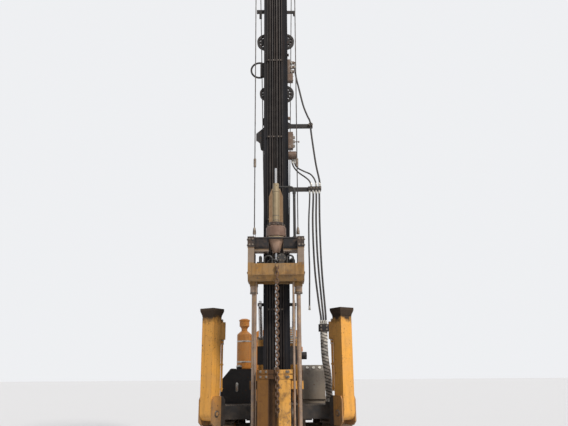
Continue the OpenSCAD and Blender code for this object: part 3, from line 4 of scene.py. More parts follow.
import bmesh
import bpy
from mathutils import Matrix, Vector


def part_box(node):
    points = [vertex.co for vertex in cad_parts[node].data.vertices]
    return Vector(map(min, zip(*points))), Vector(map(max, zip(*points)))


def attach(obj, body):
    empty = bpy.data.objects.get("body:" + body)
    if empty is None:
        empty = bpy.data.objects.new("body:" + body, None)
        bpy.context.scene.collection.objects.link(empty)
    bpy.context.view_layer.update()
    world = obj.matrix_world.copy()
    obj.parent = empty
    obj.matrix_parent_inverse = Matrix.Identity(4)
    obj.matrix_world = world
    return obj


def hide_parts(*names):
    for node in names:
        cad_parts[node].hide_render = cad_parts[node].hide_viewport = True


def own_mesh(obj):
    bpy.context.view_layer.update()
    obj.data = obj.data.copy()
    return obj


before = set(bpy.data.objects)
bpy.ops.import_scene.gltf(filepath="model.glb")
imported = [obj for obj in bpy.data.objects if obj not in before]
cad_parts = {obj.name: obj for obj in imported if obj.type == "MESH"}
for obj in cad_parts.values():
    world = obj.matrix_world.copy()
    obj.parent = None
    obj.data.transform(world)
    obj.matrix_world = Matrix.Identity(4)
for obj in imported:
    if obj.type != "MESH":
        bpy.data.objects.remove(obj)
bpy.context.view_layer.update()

# Camera
# It stands low in front of the hammer and looks up the leader. Its height, pitch and focal
# length follow from the leaning verticals and the horizon, and it rolls by under half a degree.
eye_place = (0.112, -11.096, 1.6)
eye_pitch = 15.5
eye_roll = 0.4
eye_lens = 36.1
eye_sensor = 36

eye = bpy.data.cameras.new("eye")
eye.lens = eye_lens
eye.sensor_width = eye_sensor
eye.clip_end = 300
eye_holder = bpy.data.objects.new("eye", eye)
eye_holder.location = eye_place
eye_holder.rotation_euler = (math.radians(90 + eye_pitch), math.radians(eye_roll), 0)
bpy.context.scene.collection.objects.link(eye_holder)
bpy.context.scene.camera = eye_holder

# Hanging hoses
# Oil hoses of black rubber run from the leader's valves over two arms, hang down beside the
# leader and gather in one thick bundle, wrapped in grey plastic, that goes down to the deck.
# Each ends in a crimped steel ferrule.
riser_d = 0.032
motor_hose_d = 0.026
bundle_d = 0.116
ferrule_l = 0.07
wrap_pitch = 0.05
wrap_step = 0.0035
bundle_route = [
    (0.756, -1.757, 2.207), (0.756, -1.757, 2.151), (0.760, -1.731, 1.988), (0.772, -1.656, 1.841),
    (0.791, -1.540, 1.726), (0.814, -1.392, 1.654), (0.837, -1.245, 1.581), (0.856, -1.129, 1.466),
    (0.868, -1.054, 1.319), (0.872, -1.028, 1.156), (0.872, -1.028, 1.100)
]
hose_routes = {
    "riser_hose_1": [
        (0.634, -1.757, 4.595), (0.634, -1.757, 4.460), (0.616, -1.760, 4.060), (0.620, -1.762, 3.560),
        (0.642, -1.760, 3.100), (0.694, -1.757, 2.600), (0.716, -1.757, 2.440), (0.716, -1.757, 2.320)
    ],
    "riser_hose_2": [
        (0.686, -1.757, 4.595), (0.686, -1.757, 4.460), (0.674, -1.755, 4.060), (0.680, -1.752, 3.560),
        (0.704, -1.754, 3.100), (0.742, -1.757, 2.600), (0.755, -1.757, 2.440), (0.755, -1.757, 2.320)
    ],
    "riser_hose_3": [
        (0.738, -1.757, 4.595), (0.738, -1.757, 4.460), (0.733, -1.760, 4.060), (0.738, -1.763, 3.560),
        (0.754, -1.761, 3.100), (0.786, -1.757, 2.600), (0.794, -1.757, 2.440), (0.794, -1.757, 2.320)
    ],
    "upper_hose": [
        (0.352, -1.699, 7.030), (0.352, -1.699, 6.950), (0.372, -1.704, 6.770), (0.419, -1.716, 6.540),
        (0.490, -1.736, 6.200), (0.560, -1.752, 5.990), (0.604, -1.757, 5.890), (0.612, -1.757, 5.845),
        (0.612, -1.757, 5.775), (0.632, -1.757, 5.560), (0.690, -1.757, 5.080), (0.748, -1.757, 4.760),
        (0.748, -1.757, 4.655)
    ],
    "motor_hose_1": [
        (0.325, -1.664, 5.175), (0.325, -1.664, 5.135), (0.338, -1.668, 5.085), (0.372, -1.676, 5.035),
        (0.427, -1.688, 4.993), (0.510, -1.706, 4.945), (0.595, -1.728, 4.895), (0.650, -1.746, 4.820),
        (0.682, -1.756, 4.735), (0.686, -1.757, 4.690), (0.686, -1.757, 4.655)
    ],
    "motor_hose_2": [
        (0.285, -1.664, 5.175), (0.285, -1.664, 5.135), (0.296, -1.668, 5.080), (0.326, -1.676, 5.020),
        (0.374, -1.690, 4.957), (0.436, -1.708, 4.897), (0.505, -1.728, 4.840), (0.558, -1.745, 4.785),
        (0.587, -1.755, 4.735), (0.599, -1.757, 4.695), (0.601, -1.757, 4.675), (0.601, -1.757, 4.655)
    ],
    "loose_hose": [
        (0.573, -1.757, 4.595), (0.573, -1.757, 4.460), (0.550, -1.760, 4.060), (0.544, -1.762, 3.600),
        (0.546, -1.760, 3.200), (0.538, -1.757, 2.800), (0.534, -1.757, 2.550)
    ],
}
hose_facts = {
    "riser_hose_1": (2.28, riser_d, "object"), "riser_hose_2": (2.28, riser_d, "object"),
    "riser_hose_3": (2.28, riser_d, "object"), "upper_hose": (2.42, riser_d, "object"),
    "motor_hose_1": (0.71, motor_hose_d, "object"), "motor_hose_2": (0.67, motor_hose_d, "object"),
    "loose_hose": (2.05, motor_hose_d, "fitting"),
}


def place_node(tree, kind, values=None, **settings):
    """A new node with its settings and the given values on its input sockets."""
    node = tree.nodes.new(kind)
    for key, value in settings.items():
        setattr(node, key, value)
    for key, value in (values or {}).items():
        if isinstance(value, bpy.types.NodeSocket):
            tree.links.new(value, node.inputs[key])
        else:
            node.inputs[key].default_value = value
    return node


def new_effect(name, numbers):
    """An effect group with number inputs, object coordinates and one mask output."""
    group = bpy.data.node_groups.new(name, "ShaderNodeTree")
    for label, value in numbers:
        socket = group.interface.new_socket(label, in_out="INPUT", socket_type="NodeSocketFloat")
        socket.default_value = value
    group.interface.new_socket("Mask", in_out="OUTPUT", socket_type="NodeSocketFloat")
    given = group.nodes.new("NodeGroupInput")
    result = group.nodes.new("NodeGroupOutput")
    coordinates = group.nodes.new("ShaderNodeTexCoord")
    return group, given.outputs, result.inputs["Mask"], coordinates.outputs["Object"]


def ramp(tree, value, low, high, to_low=0.0, to_high=1.0):
    """A number stretched from one span to another and held inside it."""
    node = place_node(tree, "ShaderNodeMapRange", {
        "Value": value, "From Min": low, "From Max": high, "To Min": to_low, "To Max": to_high})
    return node.outputs["Result"]


def combine(tree, operation, a, b):
    """Two numbers put through one sum."""
    return place_node(tree, "ShaderNodeMath", {0: a, 1: b}, operation=operation).outputs[0]


def place_parts(tree):
    """The object's own X, Y and Z at each point of a finish."""
    spot = place_node(tree, "ShaderNodeTexCoord").outputs["Object"]
    return place_node(tree, "ShaderNodeSeparateXYZ", {0: spot}).outputs


# Mottling: soft blotches in the finish, such as fading, thin dust or damp
mottle, given, result, spot = new_effect("mottle", [("Scale", 5), ("From", 0.4), ("To", 0.7)])
noise = place_node(mottle, "ShaderNodeTexNoise", {
    "Vector": spot, "Scale": given["Scale"], "Detail": 9, "Roughness": 0.62, "Distortion": 0.3})
mottle.links.new(ramp(mottle, noise.outputs["Fac"], given["From"], given["To"]), result)

# Chips: small sharp spots where stones or chains hit the finish
chips, given, result, spot = new_effect("chips", [("Scale", 40), ("From", 0.66), ("To", 0.7)])
noise = place_node(chips, "ShaderNodeTexNoise", {
    "Vector": spot, "Scale": given["Scale"], "Detail": 5, "Roughness": 0.55, "Distortion": 0.6})
chips.links.new(ramp(chips, noise.outputs["Fac"], given["From"], given["To"]), result)

# Grain: fine roughness of the skin of cast, sprayed or moulded pieces
grain, given, result, spot = new_effect("grain", [("Scale", 250), ("Depth", 1)])
fine = place_node(grain, "ShaderNodeTexNoise", {
    "Vector": spot, "Scale": given["Scale"], "Detail": 4, "Roughness": 0.6})
coarse = place_node(grain, "ShaderNodeTexNoise", {
    "Vector": spot, "Scale": combine(grain, "MULTIPLY", given["Scale"], 0.12), "Detail": 3})
grain.links.new(combine(grain, "MULTIPLY", combine(
    grain, "ADD", fine.outputs["Fac"], coarse.outputs["Fac"]), given["Depth"]), result)


def new_finish(name, metallic=0.0):
    """A material with an empty node tree beside its shader."""
    finish = bpy.data.materials.new(name)
    finish.use_nodes = True
    tree = finish.node_tree
    shader = tree.nodes["Principled BSDF"]
    shader.inputs["Metallic"].default_value = metallic
    return finish, tree, shader


def effect(tree, group, **values):
    """An effect group in a material, with its own values."""
    node = tree.nodes.new("ShaderNodeGroup")
    node.node_tree = group
    for key, value in values.items():
        node.inputs[key].default_value = value
    return node.outputs["Mask"]


def layer(tree, under, over, mask, share=1.0):
    """A colour laid over another where the mask shows it."""
    factor = mask if share == 1.0 else combine(tree, "MULTIPLY", mask, share)
    node = place_node(tree, "ShaderNodeMix", {0: factor}, data_type="RGBA")
    for socket, colour in ((node.inputs[6], under), (node.inputs[7], over)):
        if isinstance(colour, bpy.types.NodeSocket):
            tree.links.new(colour, socket)
        else:
            socket.default_value = (*colour, 1)
    return node.outputs[2]


def level(tree, start, *steps):
    """A number that each mask moves by its own amount, such as roughness."""
    total = start
    for mask, amount in steps:
        total = combine(tree, "ADD", combine(tree, "MULTIPLY", mask, amount), total)
    return ramp(tree, total, 0, 1)


def finish_off(tree, shader, colour, roughness, height, depth):
    """Colour, roughness and relief go into the shader."""
    tree.links.new(colour, shader.inputs["Base Color"])
    tree.links.new(roughness, shader.inputs["Roughness"])
    relief = place_node(tree, "ShaderNodeBump", {"Height": height, "Strength": 0.6, "Distance": depth})
    tree.links.new(relief.outputs[0], shader.inputs["Normal"])


def rubber(name, black, dust, dust_from, bands):
    """Hose rubber: black with a fine cloth print, chalky dust and pale rub marks."""
    finish, tree, shader = new_finish(name)
    dusty = effect(tree, mottle, Scale=9, From=dust_from, To=dust_from + 0.25)
    rubbed = effect(tree, chips, Scale=60, From=0.6, To=0.66)
    skin = effect(tree, grain, Scale=600, Depth=1)
    colour = layer(tree, black, dust, dusty, 0.6)
    colour = layer(tree, colour, tuple(2.2 * c for c in dust), rubbed, bands)
    rough = level(tree, 0.5, (dusty, 0.3), (skin, 0.1))
    finish_off(tree, shader, colour, rough, skin, 0.0006)
    return finish


hose_rubber = rubber("hose_rubber", (0.012, 0.012, 0.014), (0.10, 0.085, 0.07), 0.42, 0.25)


def plated(name, bright, dull, rough_base):
    """Plated or turned steel: bright, with dull patches and brown rust in the corners."""
    finish, tree, shader = new_finish(name, metallic=0.85)
    patch = effect(tree, mottle, Scale=30, From=0.42, To=0.66)
    rust = effect(tree, chips, Scale=55, From=0.58, To=0.68)
    skin = effect(tree, grain, Scale=500, Depth=1)
    colour = layer(tree, bright, dull, patch, 0.8)
    colour = layer(tree, colour, (0.13, 0.055, 0.02), rust, 0.7)
    rough = level(tree, rough_base, (patch, 0.25), (rust, 0.35))
    finish_off(tree, shader, colour, rough, skin, 0.0004)
    return finish


zinc = plated("zinc_plate", (0.50, 0.48, 0.44), (0.24, 0.22, 0.19), 0.3)
bolt_steel = plated("bolt_steel", (0.20, 0.17, 0.14), (0.07, 0.05, 0.04), 0.45)


def smooth_route(points, pieces):
    """Points along one smooth curve through the given ones, evenly spread."""
    ends = [points[0] - (points[1] - points[0]), *points, points[-1] + (points[-1] - points[-2])]
    fine = []
    per_span = 24
    for i in range(1, len(ends) - 2):
        a, b, c, d = ends[i - 1:i + 3]
        for k in range(per_span):
            t = k / per_span
            fine.append(0.5 * (2 * b + (c - a) * t + (2 * a - 5 * b + 4 * c - d) * t ** 2
                               + (3 * b - a - 3 * c + d) * t ** 3))
    fine.append(points[-1])
    walked = [0.0]
    for a, b in zip(fine, fine[1:]):
        walked.append(walked[-1] + (b - a).length)
    out = []
    at = 0
    for i in range(pieces + 1):
        goal = walked[-1] * i / pieces
        while at < len(fine) - 2 and walked[at + 1] < goal:
            at += 1
        share = (goal - walked[at]) / (walked[at + 1] - walked[at])
        out.append(fine[at].lerp(fine[at + 1], share))
    return out


def across(direction):
    """Two directions square to the given one and to each other."""
    along = direction.normalized()
    side = along.orthogonal().normalized()
    return side, along.cross(side), along


def loft(form, rings, closed_ends=True):
    """Faces between rings of points, with caps at both ends."""
    rows = [[form.verts.new(p) for p in ring] for ring in rings]
    for low, high in zip(rows, rows[1:]):
        for k in range(len(low)):
            j = (k + 1) % len(low)
            form.faces.new((low[k], low[j], high[j], high[k]))
    if closed_ends:
        form.faces.new(reversed(rows[0]))
        form.faces.new(rows[-1])


def turned(form, profile, place, axis, sides=20, start=0.0):
    """A turned solid: radius and distance along the axis for each step of its outline."""
    side, up, along = across(Vector(axis))
    rings = []
    for radius, far in profile:
        middle = Vector(place) + along * far
        rings.append([middle + max(radius, 0.0001) * (
            math.cos(start + math.tau * k / sides) * side + math.sin(start + math.tau * k / sides) * up)
            for k in range(sides)])
    loft(form, rings)


def make_piece(name, form, body, finish, smooth=True, angle=40):
    """A piece of the machine from a finished form, riding on its body."""
    bmesh.ops.recalc_face_normals(form, faces=form.faces)
    mesh = bpy.data.meshes.new(name)
    form.to_mesh(mesh)
    form.free()
    mesh.materials.append(finish)
    if smooth:
        mesh.shade_smooth()
        mesh.set_sharp_from_angle(angle=math.radians(angle))
    piece = bpy.data.objects.new(name, mesh)
    bpy.context.scene.collection.objects.link(piece)
    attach(piece, body)
    return piece


def ferrule(form, end, inward, radius):
    """A crimped sleeve and its nut on a hose's end; inward points along the hose."""
    outer = radius * 1.32
    step = ferrule_l / 8
    profile = [(radius * 0.9, 0)]
    profile += [(outer if k % 2 else outer * 0.92, step * (1 + 0.7 * k)) for k in range(8)]
    profile.append((radius * 0.9, ferrule_l))
    turned(form, profile, end, inward, sides=18)
    nut = radius * 1.5
    turned(form, [(nut * 0.9, 0), (nut, 0.003), (nut, 0.02), (nut * 0.9, 0.023)], end, inward, sides=6)


def hose_ends(name, route, radius):
    """Both of a hose's ferrules as one piece on the leader."""
    form = bmesh.new()
    ferrule(form, route[0], route[1] - route[0], radius)
    ferrule(form, route[-1], route[-2] - route[-1], radius)
    return make_piece(name + "_ferrules", form, "leader", zinc)


for hose, (hose_l, hose_d, hose_end) in hose_facts.items():
    route = [Vector(p) for p in hose_routes[hose]]
    line = bpy.data.curves.new(hose + "_tube", "CURVE")
    line.dimensions = "3D"
    line.bevel_depth = hose_d / 2
    line.bevel_resolution = 5
    line.use_fill_caps = True
    spline = line.splines.new("POLY")
    followed = smooth_route(route, 38)
    spline.points.add(len(followed) - 1)
    for point, place in zip(spline.points, followed):
        point.co = (*place, 1)
    spline.use_smooth = True
    line.materials.append(hose_rubber)
    tube = bpy.data.objects.new(hose + "_tube", line)
    bpy.context.scene.collection.objects.link(tube)
    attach(tube, "leader")
    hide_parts(hose)
    ends = hose_ends(hose, route, hose_d / 2)


def spiral_wrap(name):
    """Grey plastic spiral with black gaps between its turns, rubbed pale and smeared with oil."""
    finish, tree, shader = new_finish(name)
    parts = place_parts(tree)
    wander = effect(tree, mottle, Scale=7, From=0.2, To=0.8)
    along = combine(tree, "ADD", combine(tree, "ADD", parts["Z"],
                                         combine(tree, "MULTIPLY", parts["X"], 0.35)),
                    combine(tree, "MULTIPLY", wander, 0.02))
    gap = ramp(tree, combine(tree, "PINGPONG", along, wrap_pitch / 2), 0.30 * wrap_pitch,
               0.38 * wrap_pitch)
    smear = effect(tree, mottle, Scale=13, From=0.46, To=0.60)
    dust = effect(tree, mottle, Scale=5, From=0.4, To=0.7)
    skin = effect(tree, grain, Scale=500, Depth=1)
    colour = layer(tree, (0.40, 0.37, 0.33), (0.50, 0.43, 0.34), dust, 0.7)
    colour = layer(tree, colour, (0.045, 0.038, 0.033), smear, 0.75)
    colour = layer(tree, colour, (0.012, 0.011, 0.011), gap, 0.95)
    rough = level(tree, 0.45, (dust, 0.3), (smear, -0.1))
    finish_off(tree, shader, colour, rough, combine(tree, "SUBTRACT", skin, gap), 0.002)
    return finish


# The wrap is a plastic spiral, so the bundle swells and narrows along a helix
bundle_line = smooth_route([Vector(p) for p in bundle_route], 150)
bundle_form = bmesh.new()
bundle_sides = 24
bundle_rings = []
walked = 0.0
for i, middle in enumerate(bundle_line):
    before = bundle_line[max(i - 1, 0)]
    after = bundle_line[min(i + 1, len(bundle_line) - 1)]
    walked += (middle - before).length
    along = (after - before).normalized()
    side = along.cross(Vector((0, 1, 0))).normalized()
    up = along.cross(side)
    ring = []
    for k in range(bundle_sides):
        turn = math.tau * k / bundle_sides
        phase = (walked / wrap_pitch + k / bundle_sides) % 1
        radius = bundle_d / 2 - (wrap_step if phase > 0.78 else 0) - 0.002 * abs(phase - 0.39)
        ring.append(middle + radius * (math.cos(turn) * side + math.sin(turn) * up))
    bundle_rings.append(ring)
loft(bundle_form, bundle_rings)
bundle = make_piece("wrapped_bundle", bundle_form, "leader", spiral_wrap("wrap_plastic"),
                    angle=70)
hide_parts("hose_bundle")

# Undercarriage
# Two endless tracks of forged links with bolted steel shoes run round welded side frames.
# Idler, sprocket and rollers are cast. Dried mud fills every corner, and the bars are scraped bright.
# Streaks: dirt, oil and rust that ran down with the rain
streak, given, result, spot = new_effect("streak", [
    ("Across", 22), ("Down", 0.8), ("From", 0.5), ("To", 0.75)])
squeeze = place_node(streak, "ShaderNodeCombineXYZ",
                     {0: given["Across"], 1: given["Across"], 2: given["Down"]})
stretched = place_node(streak, "ShaderNodeVectorMath", {0: spot, 1: squeeze.outputs[0]},
                       operation="MULTIPLY")
noise = place_node(streak, "ShaderNodeTexNoise", {
    "Vector": stretched.outputs[0], "Scale": 1, "Detail": 6, "Roughness": 0.6})
streak.links.new(ramp(streak, noise.outputs["Fac"], given["From"], given["To"]), result)

# Soil: dust and mud that thin out with the height, in a ragged line
soil, given, result, spot = new_effect("soil",
                                       [("Clear", 1.2), ("Full", 0.3), ("Ragged", 0.4),
                                        ("Scale", 6)])
height = place_node(soil, "ShaderNodeSeparateXYZ", {0: spot}).outputs["Z"]
noise = place_node(soil, "ShaderNodeTexNoise", {
    "Vector": spot, "Scale": given["Scale"], "Detail": 10, "Roughness": 0.65})
swing = combine(soil, "MULTIPLY", ramp(soil, noise.outputs["Fac"], 0.3, 0.7, -0.5, 0.5),
                given["Ragged"])
soil.links.new(ramp(soil, combine(soil, "ADD", height, swing), given["Clear"], given["Full"]), result)

# Worn edges: the finish is gone where edges rub, in broken lengths
worn_edges, given, result, spot = new_effect("worn_edges",
                                             [("Width", 0.006), ("Amount", 0.5), ("Scale", 18)])
soft = place_node(worn_edges, "ShaderNodeBevel", {"Radius": given["Width"]}, samples=4)
true_normal = worn_edges.nodes.new("ShaderNodeNewGeometry").outputs["Normal"]
facing = place_node(worn_edges, "ShaderNodeVectorMath", {0: soft.outputs[0], 1: true_normal},
                    operation="DOT_PRODUCT")
edge = ramp(worn_edges, facing.outputs["Value"], 0.995, 0.86)
noise = place_node(worn_edges, "ShaderNodeTexNoise", {
    "Vector": spot, "Scale": given["Scale"], "Detail": 7, "Roughness": 0.7})
broken = combine(worn_edges, "ADD", noise.outputs["Fac"],
                 ramp(worn_edges, given["Amount"], 0, 1, -0.42, 0.3))
worn_edges.links.new(ramp(worn_edges, combine(worn_edges, "MULTIPLY", edge, broken), 0.18, 0.42),
                     result)


def machine_paint(name, fresh, faded, bare, mud, wear=0.5, mud_clear=1.3, mud_full=0.2, ragged=0.5,
                  streaky=0.35, gloss=0.42, sheen=0.35):
    """Oil-stained site paint: faded in blotches, streaked, chipped at edges, with mud by height."""
    finish, tree, shader = new_finish(name)
    shader.inputs["Specular IOR Level"].default_value = sheen
    fade = effect(tree, mottle, Scale=4.5, From=0.36, To=0.68)
    small = effect(tree, mottle, Scale=26, From=0.48, To=0.75)
    run = effect(tree, streak, Across=26, Down=1.1, From=0.52, To=0.78)
    edge = effect(tree, worn_edges, Width=0.007, Amount=wear, Scale=16)
    chip = effect(tree, chips, Scale=34, From=0.665 - 0.05 * wear, To=0.69 - 0.05 * wear)
    dirt = effect(tree, soil, Clear=mud_clear, Full=mud_full, Ragged=ragged, Scale=7)
    skin = effect(tree, grain, Scale=320, Depth=1)
    gone = combine(tree, "MAXIMUM", edge, chip)
    colour = layer(tree, fresh, faded, fade, 0.85)
    colour = layer(tree, colour, tuple(0.62 * c for c in faded), small, 0.35)
    colour = layer(tree, colour, tuple(0.3 * c for c in bare), run, streaky)
    colour = layer(tree, colour, bare, gone, 0.9)
    colour = layer(tree, colour, mud, dirt, 0.97)
    rough = level(tree, gloss, (fade, 0.15), (gone, 0.25), (dirt, 0.45), (run, 0.1))
    relief = combine(tree, "ADD", combine(tree, "MULTIPLY", skin, 0.12), combine(
        tree, "SUBTRACT", combine(tree, "MULTIPLY", dirt, 0.6), combine(tree, "MULTIPLY", gone, 0.5)))
    finish_off(tree, shader, colour, rough, relief, 0.0015)
    return finish


def cast_steel(name, skin_colour, rust, polish, polish_share, mud, mud_clear=0.9, mud_full=0.0):
    """Cast or forged steel: rough brown skin, rust blooms, edges rubbed bright, mud below."""
    finish, tree, shader = new_finish(name, metallic=0.35)
    bloom = effect(tree, mottle, Scale=11, From=0.4, To=0.66)
    fleck = effect(tree, chips, Scale=46, From=0.56, To=0.64)
    edge = effect(tree, worn_edges, Width=0.009, Amount=0.85, Scale=9)
    dirt = effect(tree, soil, Clear=mud_clear, Full=mud_full, Ragged=0.6, Scale=9)
    skin = effect(tree, grain, Scale=140, Depth=1)
    colour = layer(tree, skin_colour, rust, bloom, 0.8)
    colour = layer(tree, colour, tuple(0.4 * c for c in rust), fleck, 0.6)
    colour = layer(tree, colour, polish, edge, polish_share)
    colour = layer(tree, colour, mud, dirt, 0.85)
    rough = level(tree, 0.62, (bloom, 0.15), (edge, -0.25), (dirt, 0.25))
    relief = combine(tree, "ADD", combine(tree, "MULTIPLY", skin, 0.5),
                     combine(tree, "MULTIPLY", dirt, 0.8))
    finish_off(tree, shader, colour, rough, relief, 0.003)
    return finish


def dress(node, finish):
    """A CAD node takes a finish in every material slot."""
    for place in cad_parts[node].material_slots:
        place.material = finish


dry_mud = (0.16, 0.115, 0.075)
rust_brown = (0.075, 0.032, 0.014)
track_steel = cast_steel("track_steel", (0.085, 0.062, 0.045), (0.15, 0.075, 0.035), (0.36, 0.33, 0.29),
                         0.7, dry_mud, 1.0, 0.1)
wheel_steel = cast_steel("wheel_steel", (0.055, 0.042, 0.034), (0.13, 0.06, 0.03), (0.30, 0.27, 0.23),
                         0.5, dry_mud, 0.8, 0.1)
frame_paint = machine_paint("frame_paint", (0.42, 0.155, 0.028), (0.33, 0.145, 0.045), rust_brown,
                            dry_mud, wear=0.6, mud_clear=0.85, mud_full=0.15, ragged=0.5)
dress("track_left", track_steel)
dress("track_right", track_steel)
dress("track_wheels", wheel_steel)
dress("track_frames", frame_paint)


def on_circle(radius, count, shift=0.0):
    """Evenly spread steps round a circle, as sideways and up; shift turns them by part of a step."""
    turns = [math.tau * (k + shift) / count for k in range(count)]
    return [(radius * math.cos(turn), radius * math.sin(turn)) for turn in turns]


def bolt(form, place, axis, radius, start=0.0):
    """A washer and a chamfered hexagon head, seated on a face."""
    washer = radius * 1.95
    turned(form, [(washer, -0.002), (washer, radius * 0.22), (washer * 0.93, radius * 0.3)], place,
           axis, 16)
    head = radius * 1.6
    base = Vector(place) + Vector(axis).normalized() * radius * 0.29
    turned(form, [(head, 0), (head, radius * 0.85), (head * 0.86, radius * 1.1)], base, axis, 6, start)


def bolt_piece(name, places, body, radius, finish=None):
    """All the bolts of one size on one body; places holds pairs of a point and a direction."""
    form = bmesh.new()
    dice = random.Random(name)
    for place, axis in places:
        bolt(form, place, axis, radius, dice.uniform(0, 1))
    return make_piece(name, form, body, finish or bolt_steel, angle=30)


# Bolts of the shoes on the two straight runs, worked out from the loop's own length
track_low, track_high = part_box("track_left")
track_middle_y = (track_low.y + track_high.y) / 2
track_end_r = (track_high.z - track_low.z) / 2
track_span = track_high.y - track_low.y - 2 * track_end_r
track_pitch_r = 0.355
shoe_pitch = 0.171
shoe_rise = 0.014
shoe_bolt_x = 0.065
shoe_bolt_steps = (-0.032, 0.055)
track_loop_l = 2 * track_span + 2 * math.pi * track_pitch_r
shoe_count = round(track_loop_l / shoe_pitch)
shoe_step = track_loop_l / shoe_count
shoe_seat = track_pitch_r + shoe_rise
shoe_bolts = []
for side_x in (-1, 1):
    middle_x = side_x * (track_low.x + track_high.x) / -2
    for i in range(shoe_count):
        along = (i + 0.5) * shoe_step
        if along < track_span:
            centre, out = (along - track_span / 2, 0.0), (0, -1)
        elif along < track_span + math.pi * track_pitch_r:
            turn = (along - track_span) / track_pitch_r
            centre, out = (track_span / 2, 0.0), (math.sin(turn), -math.cos(turn))
        elif along < 2 * track_span + math.pi * track_pitch_r:
            centre = (track_span / 2 - (along - track_span - math.pi * track_pitch_r), 0.0)
            out = (0, 1)
        else:
            turn = (along - 2 * track_span - math.pi * track_pitch_r) / track_pitch_r
            centre, out = (-track_span / 2, 0.0), (-math.sin(turn), math.cos(turn))
        tangent = (-out[1], out[0])
        for x in (-shoe_bolt_x, shoe_bolt_x):
            for ahead in shoe_bolt_steps:
                y = track_middle_y + centre[0] + out[0] * shoe_seat + tangent[0] * ahead
                z = track_end_r + centre[1] + out[1] * shoe_seat + tangent[1] * ahead
                shoe_bolts.append(((middle_x + x, y, z), (0, out[0], out[1])))
bolt_piece("shoe_bolts", shoe_bolts, "root", radius=0.011)

# Bolts of the sprockets' rings and the idlers' hubs
sprocket_face_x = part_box("track_wheels")[1].x
idler_face_x = 1.040
sprocket_circle_r = 0.09
idler_circle_r = 0.05
hub_bolts = []
for side_x in (-1, 1):
    for end_y, face_x, circle_r in ((-1, idler_face_x, idler_circle_r),
                                    (1, sprocket_face_x, sprocket_circle_r)):
        y = track_middle_y + end_y * track_span / 2
        for dy, dz in on_circle(circle_r, 8):
            hub_bolts.append(((side_x * face_x, y + dy, track_end_r + dz), (side_x, 0, 0)))
bolt_piece("hub_bolts", hub_bolts, "root", radius=0.011)

# Chassis and deck
# The chassis is a welded box that carries the tilt ears, the clevises and the legs' cheeks.
# A raised tread pattern covers the thin deck plate, and boots have filled it with soil.
chassis_paint = machine_paint("chassis_paint", (0.045, 0.040, 0.038), (0.085, 0.066, 0.052), rust_brown,
                              dry_mud, wear=0.55, mud_clear=1.05, mud_full=0.30, ragged=0.7)
cheek_from = 0.90


def ochre_cheeks_dark_arms(name):
    """Ochre on the hinge cheeks at the ends, near black with brown blotches on the arms between them.
    """
    finish = machine_paint(name, (0.46, 0.21, 0.045), (0.34, 0.18, 0.070), rust_brown, dry_mud,
                           wear=0.7, mud_clear=1.2, mud_full=0.5, ragged=0.6, streaky=0.5)
    tree = finish.node_tree
    socket = tree.nodes["Principled BSDF"].inputs["Base Color"]
    ochre = socket.links[0].from_socket
    out_x = combine(tree, "ABSOLUTE", place_parts(tree)["X"], 0.0)
    soot = effect(tree, mottle, Scale=6, From=0.4, To=0.7)
    # The arms between the cheeks are near black with brown blotches
    dark = layer(tree, (0.024, 0.022, 0.022), (0.075, 0.055, 0.040), soot, 0.8)
    tree.links.new(layer(tree, dark, ochre, ramp(tree, out_x, cheek_from, cheek_from + 0.01)), socket)
    return finish


dress("base_frame", chassis_paint)
dress("cross_beams", chassis_paint)
dress("front_arms", ochre_cheeks_dark_arms("arm_paint"))


def tread_plate(name):
    """Steel tread plate: crossed raised bars, worn bright on top, with earth between them."""
    finish, tree, shader = new_finish(name, metallic=0.4)
    parts = place_parts(tree)
    ridges = []
    for sign in (1, -1):
        along = combine(tree, "ADD", parts["X"],
                        combine(tree, "MULTIPLY", parts["Y"], sign))
        over = combine(tree, "SUBTRACT", parts["X"],
                       combine(tree, "MULTIPLY", parts["Y"], sign))
        lengthwise = combine(tree, "PINGPONG", along, 0.021)
        sideways = combine(tree, "PINGPONG", combine(tree, "ADD", over, 0.021 * (sign + 1) / 2), 0.021)
        ridges.append(combine(tree, "MULTIPLY", ramp(tree, lengthwise, 0.004, 0.008, 1, 0),
                              ramp(tree, sideways, 0.012, 0.017, 1, 0)))
    raised = combine(tree, "MAXIMUM", *ridges)
    dirt = effect(tree, mottle, Scale=3.5, From=0.35, To=0.62)
    fleck = effect(tree, chips, Scale=50, From=0.58, To=0.66)
    skin = effect(tree, grain, Scale=300, Depth=1)
    colour = layer(tree, (0.055, 0.05, 0.048), (0.10, 0.055, 0.03), fleck, 0.7)
    colour = layer(tree, colour, dry_mud, dirt, 0.75)
    colour = layer(tree, colour, (0.26, 0.24, 0.22), raised, 0.55)
    rough = level(tree, 0.5, (dirt, 0.35), (raised, -0.15))
    relief = combine(tree, "ADD", raised, combine(tree, "MULTIPLY", skin, 0.1))
    finish_off(tree, shader, colour, rough, relief, 0.003)
    return finish


dress("deck", tread_plate("tread_plate"))
deck_low, deck_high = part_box("deck")
deck_bolt_count = 9
deck_bolt_end = 0.12
deck_bolt_in = 0.03
deck_bolt_step = (deck_high.y - deck_low.y - 2 * deck_bolt_end) / (deck_bolt_count - 1)
deck_bolts = []
for side_x in (-1, 1):
    for k in range(deck_bolt_count):
        y = deck_low.y + deck_bolt_end + k * deck_bolt_step
        deck_bolts.append(((side_x * (deck_high.x - deck_bolt_in), y, deck_high.z), (0, 0, 1)))
bolt_piece("deck_bolts", deck_bolts, "root", radius=0.008)


def weld(form, points, radius=0.006, pitch=0.012):
    """A rippled bead of weld along a line of points."""
    line = smooth_route([Vector(p) for p in points], max(8, int(sum(
        (Vector(b) - Vector(a)).length for a, b in zip(points, points[1:])) / pitch * 2)))
    rings = []
    for i, middle in enumerate(line):
        along = line[min(i + 1, len(line) - 1)] - line[max(i - 1, 0)]
        side, up, _ = across(along)
        size = radius * (1.0 if i % 2 else 0.8)
        rings.append([middle + size * (
            math.cos(math.tau * k / 8) * side + math.sin(math.tau * k / 8) * up) for k in range(8)])
    loft(form, rings)


